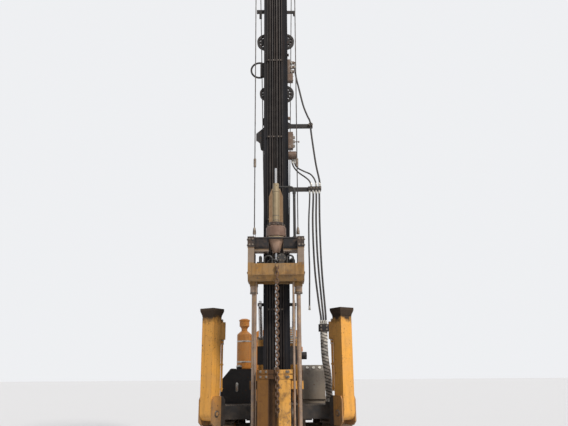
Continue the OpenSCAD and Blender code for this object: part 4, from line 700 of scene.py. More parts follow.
# Caps and bolts on the legs' hinge pins, on the outer face of both cheeks
leg_pin = Vector((1.085, -1.446, 0.950))
leg_splay = math.radians(33)
cheek_out = 0.1435
cap_bolt_circle = 0.036
cap_t = 0.011
upright = Vector((0, 0, 1))
hinge_bolts = []
pin_form = bmesh.new()
for side_x in (-1, 1):
    hinge_line = Vector((side_x * math.cos(leg_splay), math.sin(leg_splay), 0))
    centre = Vector((side_x * leg_pin.x, leg_pin.y, leg_pin.z))
    for sign in (-1, 1):
        face = centre + sign * hinge_line * cheek_out
        turned(pin_form, [(0.052, -0.001), (0.052, 0.008), (0.047, 0.012), (0.02, 0.012),
                          (0.014, 0.008)],
               face, sign * hinge_line, sides=24)
        for k in range(3):
            turn = math.tau * k / 3
            spread = upright * math.sin(turn) * cap_bolt_circle + hinge_line.cross(upright) * (
                math.cos(turn) * cap_bolt_circle)
            hinge_bolts.append((face + spread + sign * hinge_line * cap_t, sign * hinge_line))
make_piece("hinge_pin_caps", pin_form, "root", bolt_steel)
bolt_piece("hinge_pin_bolts", hinge_bolts, "root", radius=0.006)

# Collar where the hose bundle goes down into the chassis
gland_form = bmesh.new()
turned(gland_form, [(0.060, 0), (0.0655, 0.004), (0.0655, 0.03), (0.060, 0.034)],
       bundle_route[-1], (0, 0, 1), 32)
make_piece("bundle_collar", gland_form, "root", zinc)

# Counterweight
# A thick steel casting with a rounded top hangs across the rear and balances the leader.
# It is painted dark, and stones and ropes have scraped its lower edge.
dark_paint = machine_paint("dark_paint", (0.016, 0.0155, 0.0165), (0.040, 0.036, 0.034), rust_brown,
                           dry_mud, wear=0.6, mud_clear=1.0, mud_full=0.25, ragged=0.7, streaky=0.2,
                           gloss=0.45, sheen=0.2)
dress("counterweight", dark_paint)
weight_rear_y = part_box("counterweight")[1].y
weight_bolts = []
for side_x in (-1, 1):
    for x, z in ((0.32, 0.80), (0.32, 1.20), (0.62, 1.20)):
        weight_bolts.append(((side_x * x, weight_rear_y, z), (0, 1, 0)))
bolt_piece("counterweight_bolts", weight_bolts, "root", radius=0.016)

# Engine hood
# Pressed sheet over the engine, with louvres at the front, a hinged door on each side and a
# slatted grille at the rear. The paint is orange, sun faded on top and oily round the doors.
hood_half_w = 0.460
handle_r = 0.007
handle_half = 0.07
handle_out = 0.04
latch_z = 0.28
hood_paint = machine_paint("hood_paint", (0.46, 0.165, 0.022), (0.40, 0.19, 0.06), rust_brown,
                           (0.20, 0.15, 0.10), wear=0.35, mud_clear=1.5, mud_full=0.7, ragged=0.8,
                           gloss=0.34)
for node in ("engine_hood", "hood_door_left", "hood_door_right"):
    dress(node, hood_paint)
dress("rear_grille", machine_paint("grille_paint", (0.016, 0.016, 0.018), (0.05, 0.045, 0.04),
                                   rust_brown, dry_mud, wear=0.5, mud_clear=1.7, mud_full=0.6,
                                   ragged=0.8))
dress("engine", cast_steel("engine_iron", (0.035, 0.034, 0.036), (0.07, 0.045, 0.03),
                           (0.12, 0.11, 0.10), 0.4, (0.03, 0.022, 0.016), 2.2, 0.9))


def bent_rod(form, points, pieces, radius, sides):
    """A round rod bent along a smooth line through the given points."""
    line = smooth_route([Vector(p) for p in points], pieces)
    rings = []
    for i, middle in enumerate(line):
        side, up, _ = across(line[min(i + 1, pieces)] - line[max(i - 1, 0)])
        rings.append([middle + radius * (
            math.cos(math.tau * k / sides) * side + math.sin(math.tau * k / sides) * up)
            for k in range(sides)])
    loft(form, rings)


# A bent handle and two round latches on each door
for side_x, door in ((-1, "hood_door_left"), (1, "hood_door_right")):
    door_low, door_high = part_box(door)
    face_x = side_x * hood_half_w
    form = bmesh.new()
    y = door_high.y - 0.07
    middle_z = (door_low.z + door_high.z) / 2
    bent_rod(form, [(face_x + side_x * out, y, middle_z + up) for out, up in (
        (0, -handle_half), (0.03, -0.06), (handle_out, 0), (0.03, 0.06), (0, handle_half))],
        16, handle_r, 10)
    for z in (middle_z - latch_z, middle_z + latch_z):
        turned(form, [(0.022, -0.001), (0.022, 0.006), (0.016, 0.009), (0.006, 0.009), (0.005, 0.004)],
               (face_x, y, z), (side_x, 0, 0), 20)
    make_piece(door + "_handle", form, door, zinc)

# Exhaust
# A plain steel stack on the hood, blued and rusted by heat, with a hinged rain flap on top.
flap_tilt = math.radians(35)
stack_low, stack_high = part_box("exhaust")
stack_paint = cast_steel("heat_rust", (0.09, 0.045, 0.025), (0.17, 0.07, 0.03), (0.2, 0.15, 0.12), 0.3,
                         (0.02, 0.018, 0.016), 3.1, 2.9)
dress("exhaust", stack_paint)
stack_r = (stack_high.x - stack_low.x) / 2
stack_x, stack_y = (stack_low.x + stack_high.x) / 2, (stack_low.y + stack_high.y) / 2
flap_reach = stack_r + 0.012
hinge_at = Vector((stack_x, stack_y + flap_reach, stack_high.z + 0.004))
flap_along = Vector((0, -math.cos(flap_tilt), math.sin(flap_tilt)))
flap_up = Vector((0, math.sin(flap_tilt), math.cos(flap_tilt)))
flap_form = bmesh.new()
turned(flap_form, [(stack_r + 0.005, -0.0015), (stack_r + 0.005, 0.002), (stack_r - 0.010, 0.005),
                   (0.008, 0.008), (0.001, 0.008)], hinge_at + flap_along * flap_reach, flap_up, 32)
turned(flap_form, [(0.005, -0.026), (0.007, -0.024), (0.007, 0.024), (0.005, 0.026)], hinge_at,
       (1, 0, 0), 14)
turned(flap_form, [(0.005, 0.0), (0.005, 0.022), (0.013, 0.024), (0.013, 0.040), (0.010, 0.042)],
       hinge_at, -flap_along, 16)
turned(flap_form, [(stack_r + 0.004, -0.030), (stack_r + 0.0055, -0.028), (stack_r + 0.0055, -0.010),
                   (stack_r + 0.004, -0.008)], (stack_x, stack_y, stack_high.z), (0, 0, 1), 32)
make_piece("exhaust_flap", flap_form, "root", stack_paint)

# Air cleaner
# An oil-bath can with a glass-topped bowl above it stands on the tank. It is sheet steel in the
# hood's paint, held by a clamp band with a wing screw.
dress("air_cleaner", hood_paint)
can_low, can_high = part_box("air_cleaner")
can_centre = ((can_low.x + can_high.x) / 2, (can_low.y + can_high.y) / 2)
band_form = bmesh.new()
for z in (can_low.z + 0.12, can_low.z + 0.50):
    turned(band_form, [(0.139, 0), (0.1435, 0.002), (0.1435, 0.026), (0.139, 0.028)],
           (*can_centre, z), (0, 0, 1), 40)
    turned(band_form, [(0.008, -0.03), (0.008, 0.03)],
           (can_centre[0], can_centre[1] - 0.149, z + 0.014), (1, 0, 0), 10)
make_piece("air_cleaner_bands", band_form, "root", zinc)

# Hydraulic tank
# Folded black sheet with a sloping outer corner. It has a bolted lid, a vented filler cap and an
# oil sight glass in a steel frame.
dress("hydraulic_tank", dark_paint)
tank_low, tank_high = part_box("hydraulic_tank")
lid_z = 1.640
lid_bolt_end = 0.08
filler_place = (-0.70, -0.426, 1.671)
tank_bolts = []
for k in range(6):
    y = tank_low.y + lid_bolt_end + k * (tank_high.y - tank_low.y - 2 * lid_bolt_end) / 5
    for x in (tank_low.x + 0.19, tank_high.x - 0.03):
        tank_bolts.append(((x, y, lid_z), (0, 0, 1)))
bolt_piece("tank_lid_bolts", tank_bolts, "root", radius=0.007)
cap_form = bmesh.new()
turned(cap_form, [(0.050, 0), (0.054, 0.004), (0.054, 0.022), (0.046, 0.03), (0.018, 0.032),
                  (0.015, 0.042), (0.006, 0.044)], filler_place, (0, 0, 1), 24)
make_piece("tank_filler_cap", cap_form, "root", zinc)


def gauge_oil(name):
    """Amber oil behind a clear window, up to its level, with the empty glass pale above it."""
    finish, tree, shader = new_finish(name)
    fill = ramp(tree, place_parts(tree)["Z"], sight_z + 0.013, sight_z + 0.012)
    haze = effect(tree, mottle, Scale=60, From=0.4, To=0.7)
    colour = layer(tree, (0.30, 0.29, 0.26), (0.23, 0.085, 0.012), fill)
    colour = layer(tree, colour, (0.22, 0.18, 0.13), haze, 0.35)
    finish_off(tree, shader, colour, level(tree, 0.12, (haze, 0.3)), haze, 0.0002)
    return finish


sight_x = -0.72
sight_z = 1.33
for part, half_w, half_h, out, finish in (("frame", 0.021, 0.078, 0.009, zinc),
                                          ("glass", 0.011, 0.066, 0.011, gauge_oil("gauge_oil"))):
    outline = []
    for end, start in ((1, 0), (-1, 180)):
        for k in range(9):
            turn = math.radians(start + 22.5 * k)
            outline.append((half_w * math.cos(turn), end * (half_h - half_w) + half_w * math.sin(turn)))
    sight_form = bmesh.new()
    loft(sight_form, [[Vector((sight_x + x * s, tank_low.y - far, sight_z + z * s)) for x, z in outline]
                      for s, far in ((1, -0.001), (1, out - 0.003), (0.94, out))])
    make_piece("tank_sight_" + part, sight_form, "root", finish)

# Operator's place
# A seat of black foam cushions in grained vinyl on a sheet pedestal, with two padded arms, and a
# grey sheet console with round gauges and a bank of levers.
cushion_w = 0.47
cushion_l = 0.44
cushion_h = 0.095
cushion_z = 1.268
arm_x = 0.258
deck_top = 1.050
seat_low, seat_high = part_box("operator_seat")
seat_x = (seat_low.x + seat_high.x) / 2
seat_y = 0.074
pedestal_paint = machine_paint("pedestal_paint", (0.05, 0.05, 0.052), (0.09, 0.085, 0.08),
                               rust_brown, dry_mud, wear=0.5, mud_clear=1.3, mud_full=0.9)
console_paint = machine_paint("console_paint", (0.12, 0.108, 0.095), (0.20, 0.175, 0.145), rust_brown,
                              (0.20, 0.16, 0.12), wear=0.4, mud_clear=1.6, mud_full=0.9, gloss=0.4)


def vinyl(name, skin_colour, dust):
    """Seat vinyl: a pebbled grain, dust in the low places and a shine where it is sat on."""
    finish, tree, shader = new_finish(name)
    spot = place_node(tree, "ShaderNodeTexCoord").outputs["Object"]
    pebble = place_node(tree, "ShaderNodeTexVoronoi", {"Vector": spot, "Scale": 420},
                        feature="SMOOTH_F1")
    dusty = effect(tree, mottle, Scale=8, From=0.4, To=0.7)
    crease = effect(tree, mottle, Scale=35, From=0.55, To=0.8)
    colour = layer(tree, skin_colour, dust, dusty, 0.55)
    colour = layer(tree, colour, tuple(0.4 * c for c in skin_colour), crease, 0.5)
    rough = level(tree, 0.42, (dusty, 0.35))
    finish_off(tree, shader, colour, rough, pebble.outputs["Distance"], 0.0008)
    return finish


seat_vinyl = vinyl("seat_vinyl", (0.035, 0.034, 0.036), (0.15, 0.125, 0.10))


def cushion(name, low, high, crown, channels, tilt=0.0, hinge=(0, 0)):
    """A foam cushion: rounded corners, a crowned top that pulls in at sewn channels, a flat bottom."""
    across_n, along_n = 36, 34
    form = bmesh.new()
    half_w = (high[0] - low[0]) / 2
    half_l = (high[1] - low[1]) / 2
    middle = ((low[0] + high[0]) / 2, (low[1] + high[1]) / 2)
    thick = high[2] - low[2]
    sheets = []
    for sheet in ("top", "bottom"):
        rows = []
        for j in range(along_n + 1):
            row = []
            for i in range(across_n + 1):
                u = math.sin(math.pi / 2 * (2 * i / across_n - 1))
                v = math.sin(math.pi / 2 * (2 * j / along_n - 1))
                round_off = (1 - 0.055 * v * v * v * v, 1 - 0.055 * u * u * u * u)
                x = middle[0] + half_w * u * round_off[0]
                y = middle[1] + half_l * v * round_off[1]
                rim = max(abs(u), abs(v))
                fall = (1 - rim ** 7) ** 0.5
                if sheet == "top":
                    lift = thick * (0.45 + 0.55 * fall) - crown * (u * u + v * v) / 2
                    for line in channels:
                        lift -= 0.012 * math.exp(-((v - line) / 0.035) ** 2) * (1 - u ** 8)
                    z = low[2] + lift
                else:
                    z = low[2] + thick * 0.45 * (1 - fall)
                if tilt:
                    dy, dz = y - hinge[0], z - hinge[1]
                    y = hinge[0] + dy * math.cos(tilt) - dz * math.sin(tilt)
                    z = hinge[1] + dy * math.sin(tilt) + dz * math.cos(tilt)
                row.append(form.verts.new((x, y, z)))
            rows.append(row)
        sheets.append(rows)
    for rows in sheets:
        for a, b in zip(rows, rows[1:]):
            for i in range(across_n):
                form.faces.new((a[i], a[i + 1], b[i + 1], b[i]))
    bmesh.ops.remove_doubles(form, verts=form.verts, dist=0.0004)
    pad = make_piece(name, form, "root", seat_vinyl, angle=80)
    return pad


cushion("seat_cushion", (seat_x - cushion_w / 2, seat_y - cushion_l / 2, cushion_z),
        (seat_x + cushion_w / 2, seat_y + cushion_l / 2, cushion_z + cushion_h), 0.015,
        (-0.35, 0.1, 0.55))
back_lean = math.radians(80)
cushion("seat_back_cushion", (seat_x - 0.215, seat_y + 0.150, 1.350),
        (seat_x + 0.215, seat_y + 0.495, 1.430), 0.012, (-0.4, 0.1, 0.6),
        tilt=back_lean, hinge=(seat_y + 0.228, 1.352))

# The pedestal's column and plate, and the two arms' bent tubes
seat_form = bmesh.new()
for low, high in (((-0.12, -0.10, 0.0), (0.12, 0.10, 0.19)),
                  ((-0.205, -0.19, 0.19), (0.205, 0.19, 0.219))):
    corner = 0.018
    outline = []
    for sx, sy, start in ((1, 1, 0), (-1, 1, 90), (-1, -1, 180), (1, -1, 270)):
        for k in range(5):
            turn = math.radians(start + 22.5 * k)
            outline.append((sx * (high[0] - corner) + corner * math.cos(turn),
                            sy * (high[1] - corner) + corner * math.sin(turn)))
    loft(seat_form, [[Vector((seat_x + x * s, seat_y + y * s, deck_top + z)) for x, y in outline]
                     for s, z in ((0.985, low[2]), (1, low[2] + 0.004), (1, high[2] - 0.004),
                                  (0.985, high[2]))])
for side_x in (-1, 1):
    bent_rod(seat_form, [(seat_x + side_x * x, seat_y + y, z) for x, y, z in (
        (0.20, 0.09, 1.285), (0.252, 0.09, 1.30), (arm_x, 0.09, 1.40), (arm_x, 0.08, 1.515))],
        18, 0.012, 12)
stand = make_piece("seat_pedestal", seat_form, "root", pedestal_paint)
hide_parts("operator_seat")
for side_x, side in ((-1, "left"), (1, "right")):
    cushion("arm_pad_" + side, (seat_x + side_x * arm_x - 0.023, seat_y - 0.150, 1.529),
            (seat_x + side_x * arm_x + 0.023, seat_y + 0.150, 1.560), 0.004, ())

# Gauges with their needles on the console's sloping face, and the knobs of the levers
dress("control_console", console_paint)
console_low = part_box("control_console")[0]
dial_z = 1.6525
dial_form = bmesh.new()
glass_form = bmesh.new()
needle_form = bmesh.new()
slope = Vector((0, -0.785, 0.62)).normalized()
for k in range(3):
    centre = Vector((console_low.x + 0.09 + 0.11 * k, console_low.y + 0.037, dial_z))
    turned(dial_form, [(0.034, -0.002), (0.036, 0.006), (0.034, 0.012), (0.029, 0.012), (0.028, 0.006)],
           centre, slope, 28)
    turned(glass_form, [(0.0285, 0.004), (0.0285, 0.0065)], centre, slope, 28)
    side, up, _ = across(slope)
    tip = centre + slope * 0.0085 + (side * math.cos(k + 0.6) + up * math.sin(k + 0.6)) * 0.024
    turned(needle_form, [(0.0012, 0), (0.0006, 0.024)], centre + slope * 0.0075,
           tip - centre - slope * 0.0075, 6)
make_piece("console_gauges", dial_form, "root", bolt_steel)
dial_face, tree, shader = new_finish("dial_face")
skin = effect(tree, mottle, Scale=60, From=0.4, To=0.8)
finish_off(tree, shader, layer(tree, (0.62, 0.61, 0.56), (0.40, 0.36, 0.28), skin, 0.7),
           level(tree, 0.25, (skin, 0.3)), skin, 0.0001)
make_piece("console_dials", glass_form, "root", dial_face)
make_piece("console_needles", needle_form, "root", hose_rubber)
lever_y = -0.246
lever_foot_z = 1.479
knob_z = lever_foot_z + 0.093
knob_form = bmesh.new()
for k in range(6):
    x = console_low.x + 0.10 + 0.05 * k
    turned(knob_form, [(0.0165, 0), (0.019, 0.006), (0.0185, 0.028), (0.012, 0.037), (0.004, 0.039)],
           (x, lever_y, knob_z), (0, 0, 1), 20)
    turned(knob_form, [(0.024, 0), (0.022, 0.012), (0.016, 0.02), (0.018, 0.026), (0.011, 0.042)],
           (x, lever_y, lever_foot_z), (0, 0, 1), 20)
make_piece("lever_knobs", knob_form, "root", seat_vinyl)

# Stabiliser legs
# Square welded tubes, folded up at the front corners, with flared feet that stand in black mud
# when they are down. The ochre paint is scuffed to the metal in long scratches.
leg_paint = machine_paint("leg_paint", (0.66, 0.31, 0.050), (0.56, 0.28, 0.072), (0.12, 0.050, 0.018),
                          (0.022, 0.016, 0.013), wear=0.5, mud_clear=2.36, mud_full=2.46, ragged=0.14,
                          streaky=0.4, gloss=0.42)
dress("leg_left", leg_paint)
dress("leg_right", leg_paint)
leg_side = 0.225
leg_top = 2.570
valve_low = leg_top - 0.46
valve_high = leg_top - 0.17
valve_edge = 0.039
foot_weld_z = leg_top - 0.084


def hex_nut(form, place, axis, low_r, high_r, height, chamfer=0.004):
    """A hexagon fitting with both of its rims chamfered."""
    turned(form, [(low_r, 0), (high_r, chamfer), (high_r, height - chamfer), (low_r, height)],
           place, axis, 6)


for side_x, body in ((-1, "leg_left"), (1, "leg_right")):
    swing = Vector((side_x * math.sin(leg_splay), -math.cos(leg_splay), 0))
    hinge_line = Vector((0, 0, 1)).cross(swing)
    centre = Vector((side_x * leg_pin.x, leg_pin.y, 0))
    form = bmesh.new()
    # Elbows, nuts and clips of the holding valve on the rear face
    rear = centre - swing * (leg_side / 2 + 0.060)
    across_valve = hinge_line * (valve_edge - leg_side / 2) * side_x
    top = rear + across_valve + Vector((0, 0, valve_high + 0.044))
    hex_nut(form, top - Vector((0, 0, 0.03)), (0, 0, 1), 0.022, 0.026, 0.024)
    low = centre - swing * (leg_side / 2 + 0.080) + across_valve + Vector((0, 0, valve_low))
    for z in (-0.012, -0.066):
        hex_nut(form, low + Vector((0, 0, z - 0.012)), (0, 0, 1), 0.026, 0.030, 0.024)
    for k in range(4):
        face = centre - swing * (leg_side / 2 + 0.1185) + across_valve + Vector(
            (0, 0, valve_low + 0.04 + 0.07 * k))
        turned(form, [(0.011, -0.001), (0.011, 0.008), (0.006, 0.009), (0.006, 0.005)], face,
               -swing, 16)
    make_piece(body + "_fittings", form, body, zinc)
    # Weld bead round the foot
    bead = bmesh.new()
    half = leg_side / 2 + 0.002
    corners = [centre + swing * half * a + hinge_line * half * b + Vector((0, 0, foot_weld_z))
               for a, b in ((1, 1), (-1, 1), (-1, -1), (1, -1), (1, 1))]
    for a, b in zip(corners, corners[1:]):
        weld(bead, (a, (a + b) / 2, b), 0.006)
    make_piece(body + "_welds", bead, body, leg_paint)

# Leader
# A long closed box of dark steel plate with a wider front plate that the hammer's claws run on.
# Grease, rain and rust have drawn stripes down its whole length, and the runs are rubbed bright.
leader_low, leader_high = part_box("leader")


def leader_steel(name):
    """Near-black plate with grey and brown stripes along it, bluish where the claws polish it."""
    finish, tree, shader = new_finish(name)
    shader.inputs["Specular IOR Level"].default_value = 0.12
    wide = effect(tree, streak, Across=20, Down=0.12, From=0.45, To=0.68)
    narrow = effect(tree, streak, Across=75, Down=0.25, From=0.5, To=0.72)
    rust = effect(tree, streak, Across=36, Down=0.9, From=0.6, To=0.78)
    blotch = effect(tree, mottle, Scale=3.2, From=0.42, To=0.7)
    edge = effect(tree, worn_edges, Width=0.006, Amount=0.6, Scale=6)
    skin = effect(tree, grain, Scale=260, Depth=1)
    colour = layer(tree, (0.0055, 0.0055, 0.0075), (0.030, 0.027, 0.026), wide, 0.75)
    colour = layer(tree, colour, (0.013, 0.015, 0.022), blotch, 0.5)
    colour = layer(tree, colour, (0.055, 0.046, 0.040), narrow, 0.4)
    colour = layer(tree, colour, (0.050, 0.023, 0.011), rust, 0.4)
    colour = layer(tree, colour, (0.13, 0.115, 0.105), edge, 0.5)
    rough = level(tree, 0.5, (wide, 0.2), (rust, 0.25), (edge, -0.1))
    finish_off(tree, shader, colour, rough, combine(tree, "ADD", skin, rust), 0.0012)
    return finish


mast_steel = leader_steel("mast_steel")
dress("leader", mast_steel)
for node in ("leader_foot", "mast_head", "winch_frame", "leader_fittings", "hose_arm_upper",
             "hose_arm_lower", "hose_clamp"):
    dress(node, dark_paint)
for node in ("front_sheaves", "rear_sheaves", "winch_drum"):
    dress(node, wheel_steel)
valve_paint = machine_paint("valve_paint", (0.10, 0.055, 0.035), (0.16, 0.11, 0.08), (0.30, 0.28, 0.25),
                            (0.10, 0.08, 0.06), wear=0.6, mud_clear=2.0, mud_full=1.0, streaky=0.5)
dress("leader_valves", valve_paint)
dress("leader_cooler", plated("cooler_alloy", (0.42, 0.41, 0.39), (0.22, 0.20, 0.18), 0.4))


def pipe_steel(name):
    """Drawn pipe, dull grey-brown with long rust runs and a faint shine along it."""
    finish, tree, shader = new_finish(name)
    shader.inputs["Specular IOR Level"].default_value = 0.2
    run = effect(tree, streak, Across=90, Down=0.5, From=0.42, To=0.7)
    blotch = effect(tree, mottle, Scale=7, From=0.4, To=0.65)
    skin = effect(tree, grain, Scale=400, Depth=1)
    colour = layer(tree, (0.012, 0.011, 0.012), (0.048, 0.029, 0.020), run, 0.7)
    colour = layer(tree, colour, (0.065, 0.056, 0.050), blotch, 0.35)
    finish_off(tree, shader, colour, level(tree, 0.36, (run, 0.35)), skin, 0.0006)
    return finish


dress("leader_pipes", pipe_steel("pipe_steel"))

# Bolted joint plates, where the leader's lengths meet, on both sides and the back
joint_heights = (3.85, 6.08, 8.75)
joint_t = 0.006
joint_half = 0.16
leader_side_x = 0.165
plate_front_y = -1.73
plate_rear_y = -1.36
back_plate_half = 0.15
bolt_spread = (-0.11, -0.04, 0.04, 0.11)
back_y = leader_high.y


def joint_plate(form, low_corners, out):
    """A thin plate over two of its lower corners, with a chamfer round its outer face."""
    first, second = [Vector(p) for p in low_corners]
    tall = Vector((0, 0, 2 * joint_half))
    ring = [first, second, second + tall, first + tall]
    middle = sum(ring, Vector()) / 4
    loft(form, [ring, [p + out * 0.8 for p in ring],
                [middle + (p - middle) * 0.985 + out for p in ring]])


joint_form = bmesh.new()
joint_bolts = []
for joint_z in joint_heights:
    low_z = joint_z - joint_half
    for side_x in (-1, 1):
        x = side_x * leader_side_x
        joint_plate(joint_form, ((x, plate_front_y, low_z), (x, plate_rear_y, low_z)),
                    Vector((side_x * joint_t, 0, 0)))
        for y in (-1.68, -1.60, -1.48, -1.40):
            for z in bolt_spread:
                joint_bolts.append(((x + side_x * joint_t, y, joint_z + z), (side_x, 0, 0)))
    joint_plate(joint_form, ((-back_plate_half, back_y, low_z), (back_plate_half, back_y, low_z)),
                Vector((0, joint_t, 0)))
    for x in bolt_spread:
        for z in (bolt_spread[0], bolt_spread[-1]):
            joint_bolts.append(((x, back_y + joint_t, joint_z + z), (0, 1, 0)))
make_piece("leader_joint_plates", joint_form, "leader", mast_steel)
bolt_piece("leader_joint_bolts", joint_bolts, "leader", radius=0.010)

# Bolts and hexagon fittings of the valves, the motor, the pipe clips and the arms' foot plates
lower_block_x = 0.300
upper_block_x = 0.312
motor_face_x = 0.350
motor_y = -1.664
motor_z = 5.267
hose_port_y = -1.699
valve_bolts = []
for z in (5.42, 5.64):
    for y in (-1.72, -1.65):
        valve_bolts.append(((lower_block_x, y, z), (1, 0, 0)))
for z in (6.73, 6.81):
    valve_bolts.append(((upper_block_x, -1.69, z), (1, 0, 0)))
for dy, dz in on_circle(0.064, 6):
    valve_bolts.append(((motor_face_x, motor_y + dy, motor_z + dz), (1, 0, 0)))
bolt_piece("valve_bolts", valve_bolts, "leader", radius=0.006)
nut_form = bmesh.new()
for z in (6.90, 6.99, 7.08):
    hex_nut(nut_form, (0.275, hose_port_y, z), (1, 0, 0), 0.033, 0.037, 0.028)
for z in (5.44, 5.52, 5.60):
    hex_nut(nut_form, (0.302, -1.684, z), (1, 0, 0), 0.029, 0.032, 0.022)
hex_nut(nut_form, (0.352, hose_port_y, 7.034), (0, 0, 1), 0.021, 0.025, 0.024)
for x in (0.285, 0.325):
    hex_nut(nut_form, (x, motor_y, 5.176), (0, 0, 1), 0.020, 0.024, 0.017, 0.003)
make_piece("valve_nuts", nut_form, "leader", zinc)
clip_bolts = []
pipes_low, pipes_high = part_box("leader_pipes")
clip_step = 1.5
clip_z = pipes_low.z + 0.4
while clip_z < pipes_high.z - 0.1:
    for x in (-0.127, -0.0405, 0.0425, 0.0885):
        clip_bolts.append(((x, leader_low.y - 0.030, clip_z + 0.018), (0, -1, 0)))
    clip_z += clip_step
bolt_piece("pipe_clip_bolts", clip_bolts, "leader", radius=0.0055)
lower_arm_z = 4.625
upper_arm_z = 5.810
clamp_face_y = -1.783
arm_bolts = []
for arm_z in (lower_arm_z, upper_arm_z):
    for z in (-0.07, 0.07):
        arm_bolts.append(((0.1753, -1.700, arm_z + z), (1, 0, 0)))
for arm_z, places in ((lower_arm_z, (0.600, 0.645, 0.697, 0.756)), (upper_arm_z, (0.585, 0.639))):
    for x in places:
        arm_bolts.append(((x, clamp_face_y, arm_z), (0, -1, 0)))
clamp_low, clamp_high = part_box("hose_clamp")
for x in (-0.045, 0.045):
    for z in (0.03, 0.083):
        arm_bolts.append((((clamp_low.x + clamp_high.x) / 2 + x, clamp_low.y, clamp_low.z + z),
                          (0, -1, 0)))
bolt_piece("arm_bolts", arm_bolts, "leader", radius=0.0075)

# Tilt pin caps, winch motor bolts and the keeper plates of the head's shafts
sheave_z = 11.5
front_shaft = -1.900
rear_shaft = -1.196
drum_z = 1.850
drum_y = -1.086
tilt_pin = (0.284, -1.096, 0.900)
keeper_form = bmesh.new()
head_bolts = []
for side_x in (-1, 1):
    turned(keeper_form, [(0.060, -0.001), (0.060, 0.008), (0.054, 0.012), (0.02, 0.012),
                         (0.014, 0.007)],
           (side_x * tilt_pin[0], *tilt_pin[1:]), (side_x, 0, 0), 28)
    for y in (front_shaft, rear_shaft):
        turned(keeper_form, [(0.052, -0.001), (0.052, 0.010), (0.046, 0.014), (0.02, 0.014)],
               (side_x * 0.421, y, sheave_z), (side_x, 0, 0), 24)
        for dy, dz in on_circle(0.035, 4, 0.5):
            head_bolts.append(((side_x * 0.434, y + dy, sheave_z + dz), (side_x, 0, 0)))
for dy, dz in on_circle(0.079, 8):
    head_bolts.append(((0.391, drum_y + dy, drum_z + dz), (1, 0, 0)))
make_piece("shaft_keepers", keeper_form, "leader", bolt_steel)
bolt_piece("head_bolts", head_bolts, "leader", radius=0.008)

# Tilt cylinders
# Two oil cylinders lean from the deck to a bracket behind the leader. The barrels are painted,
# the rods are hard chromed, and a bolted gland closes each barrel.
ram_paint = machine_paint("ram_paint", (0.50, 0.24, 0.045), (0.42, 0.22, 0.07), rust_brown, dry_mud,
                          wear=0.5, mud_clear=1.35, mud_full=0.9, ragged=0.5)


def hard_chrome(name):
    """Hard chrome: bright, with a thin oil film, faint turning lines and a little dust."""
    finish, tree, shader = new_finish(name, metallic=1.0)
    film = effect(tree, mottle, Scale=12, From=0.4, To=0.7)
    run = effect(tree, streak, Across=70, Down=4, From=0.5, To=0.75)
    skin = effect(tree, grain, Scale=700, Depth=1)
    colour = layer(tree, (0.55, 0.55, 0.56), (0.30, 0.27, 0.24), film, 0.6)
    colour = layer(tree, colour, (0.20, 0.16, 0.13), run, 0.4)
    finish_off(tree, shader, colour, level(tree, 0.18, (film, 0.25), (run, 0.15)), skin, 0.0002)
    return finish


chrome = hard_chrome("hard_chrome")
stay_foot = Vector((0.290, -0.146, 1.290))
stay_head = Vector((0.290, -1.236, 2.700))
gland_share = 0.62
gland_bolt_circle = 0.052
barrel_r = 0.061
port_shares = (0.12, 0.94)
for side in ("left", "right"):
    dress("tilt_barrel_" + side, ram_paint)
    dress("tilt_rod_" + side, chrome)
    side_x = -1 if side == "left" else 1
    foot = Vector((side_x * stay_foot.x, stay_foot.y, stay_foot.z))
    head = Vector((side_x * stay_head.x, stay_head.y, stay_head.z))
    along = (head - foot).normalized()
    gland = foot + along * (head - foot).length * gland_share
    form = bmesh.new()
    turned(form, [(0.060, -0.05), (0.068, -0.046), (0.068, -0.006), (0.060, 0.0), (0.040, 0.001)],
           gland, along, 36)
    first, second, _ = across(along)
    for k in range(6):
        turn = math.tau * k / 6
        spread = math.cos(turn) * first + math.sin(turn) * second
        turned(form, [(0.006, 0), (0.006, 0.007), (0.003, 0.007)],
               gland + gland_bolt_circle * spread - along * 0.001, along, 6)
    for far in port_shares:
        port = foot + along * (gland - foot).length * far + Vector((0, barrel_r, 0)) * 0.98
        turned(form, [(0.018, -0.006), (0.018, 0.018), (0.014, 0.022), (0.014, 0.03), (0.008, 0.031)],
               port, (0, 1, 0.4), 6)
    make_piece("tilt_gland_" + side, form, "tilt_barrel_" + side, bolt_steel)

# Hammer frame
# A welded box frame with a window: a deep tray, two jambs and a dark upper frame that carries the
# cylinder. Ochre paint is left in patches on bare, rusty and oil-stained steel.
frame_middle_y = -2.234
frame_half_d = 0.230
frame_front_y = frame_middle_y - frame_half_d
frame_rear_y = frame_middle_y + frame_half_d
frame_half = 0.435
jamb_top = 3.448

# Band: a stretch of height with a sharp lower and upper edge
band, given, result, spot = new_effect("band", [("Low", 0), ("High", 1), ("Edge", 0.004)])
height = place_node(band, "ShaderNodeSeparateXYZ", {0: spot}).outputs["Z"]
over = combine(band, "DIVIDE", combine(band, "SUBTRACT", height, given["Low"]), given["Edge"])
under = combine(band, "DIVIDE", combine(band, "SUBTRACT", given["High"], height), given["Edge"])
band.links.new(ramp(band, combine(band, "MINIMUM", over, under), 0, 1), result)


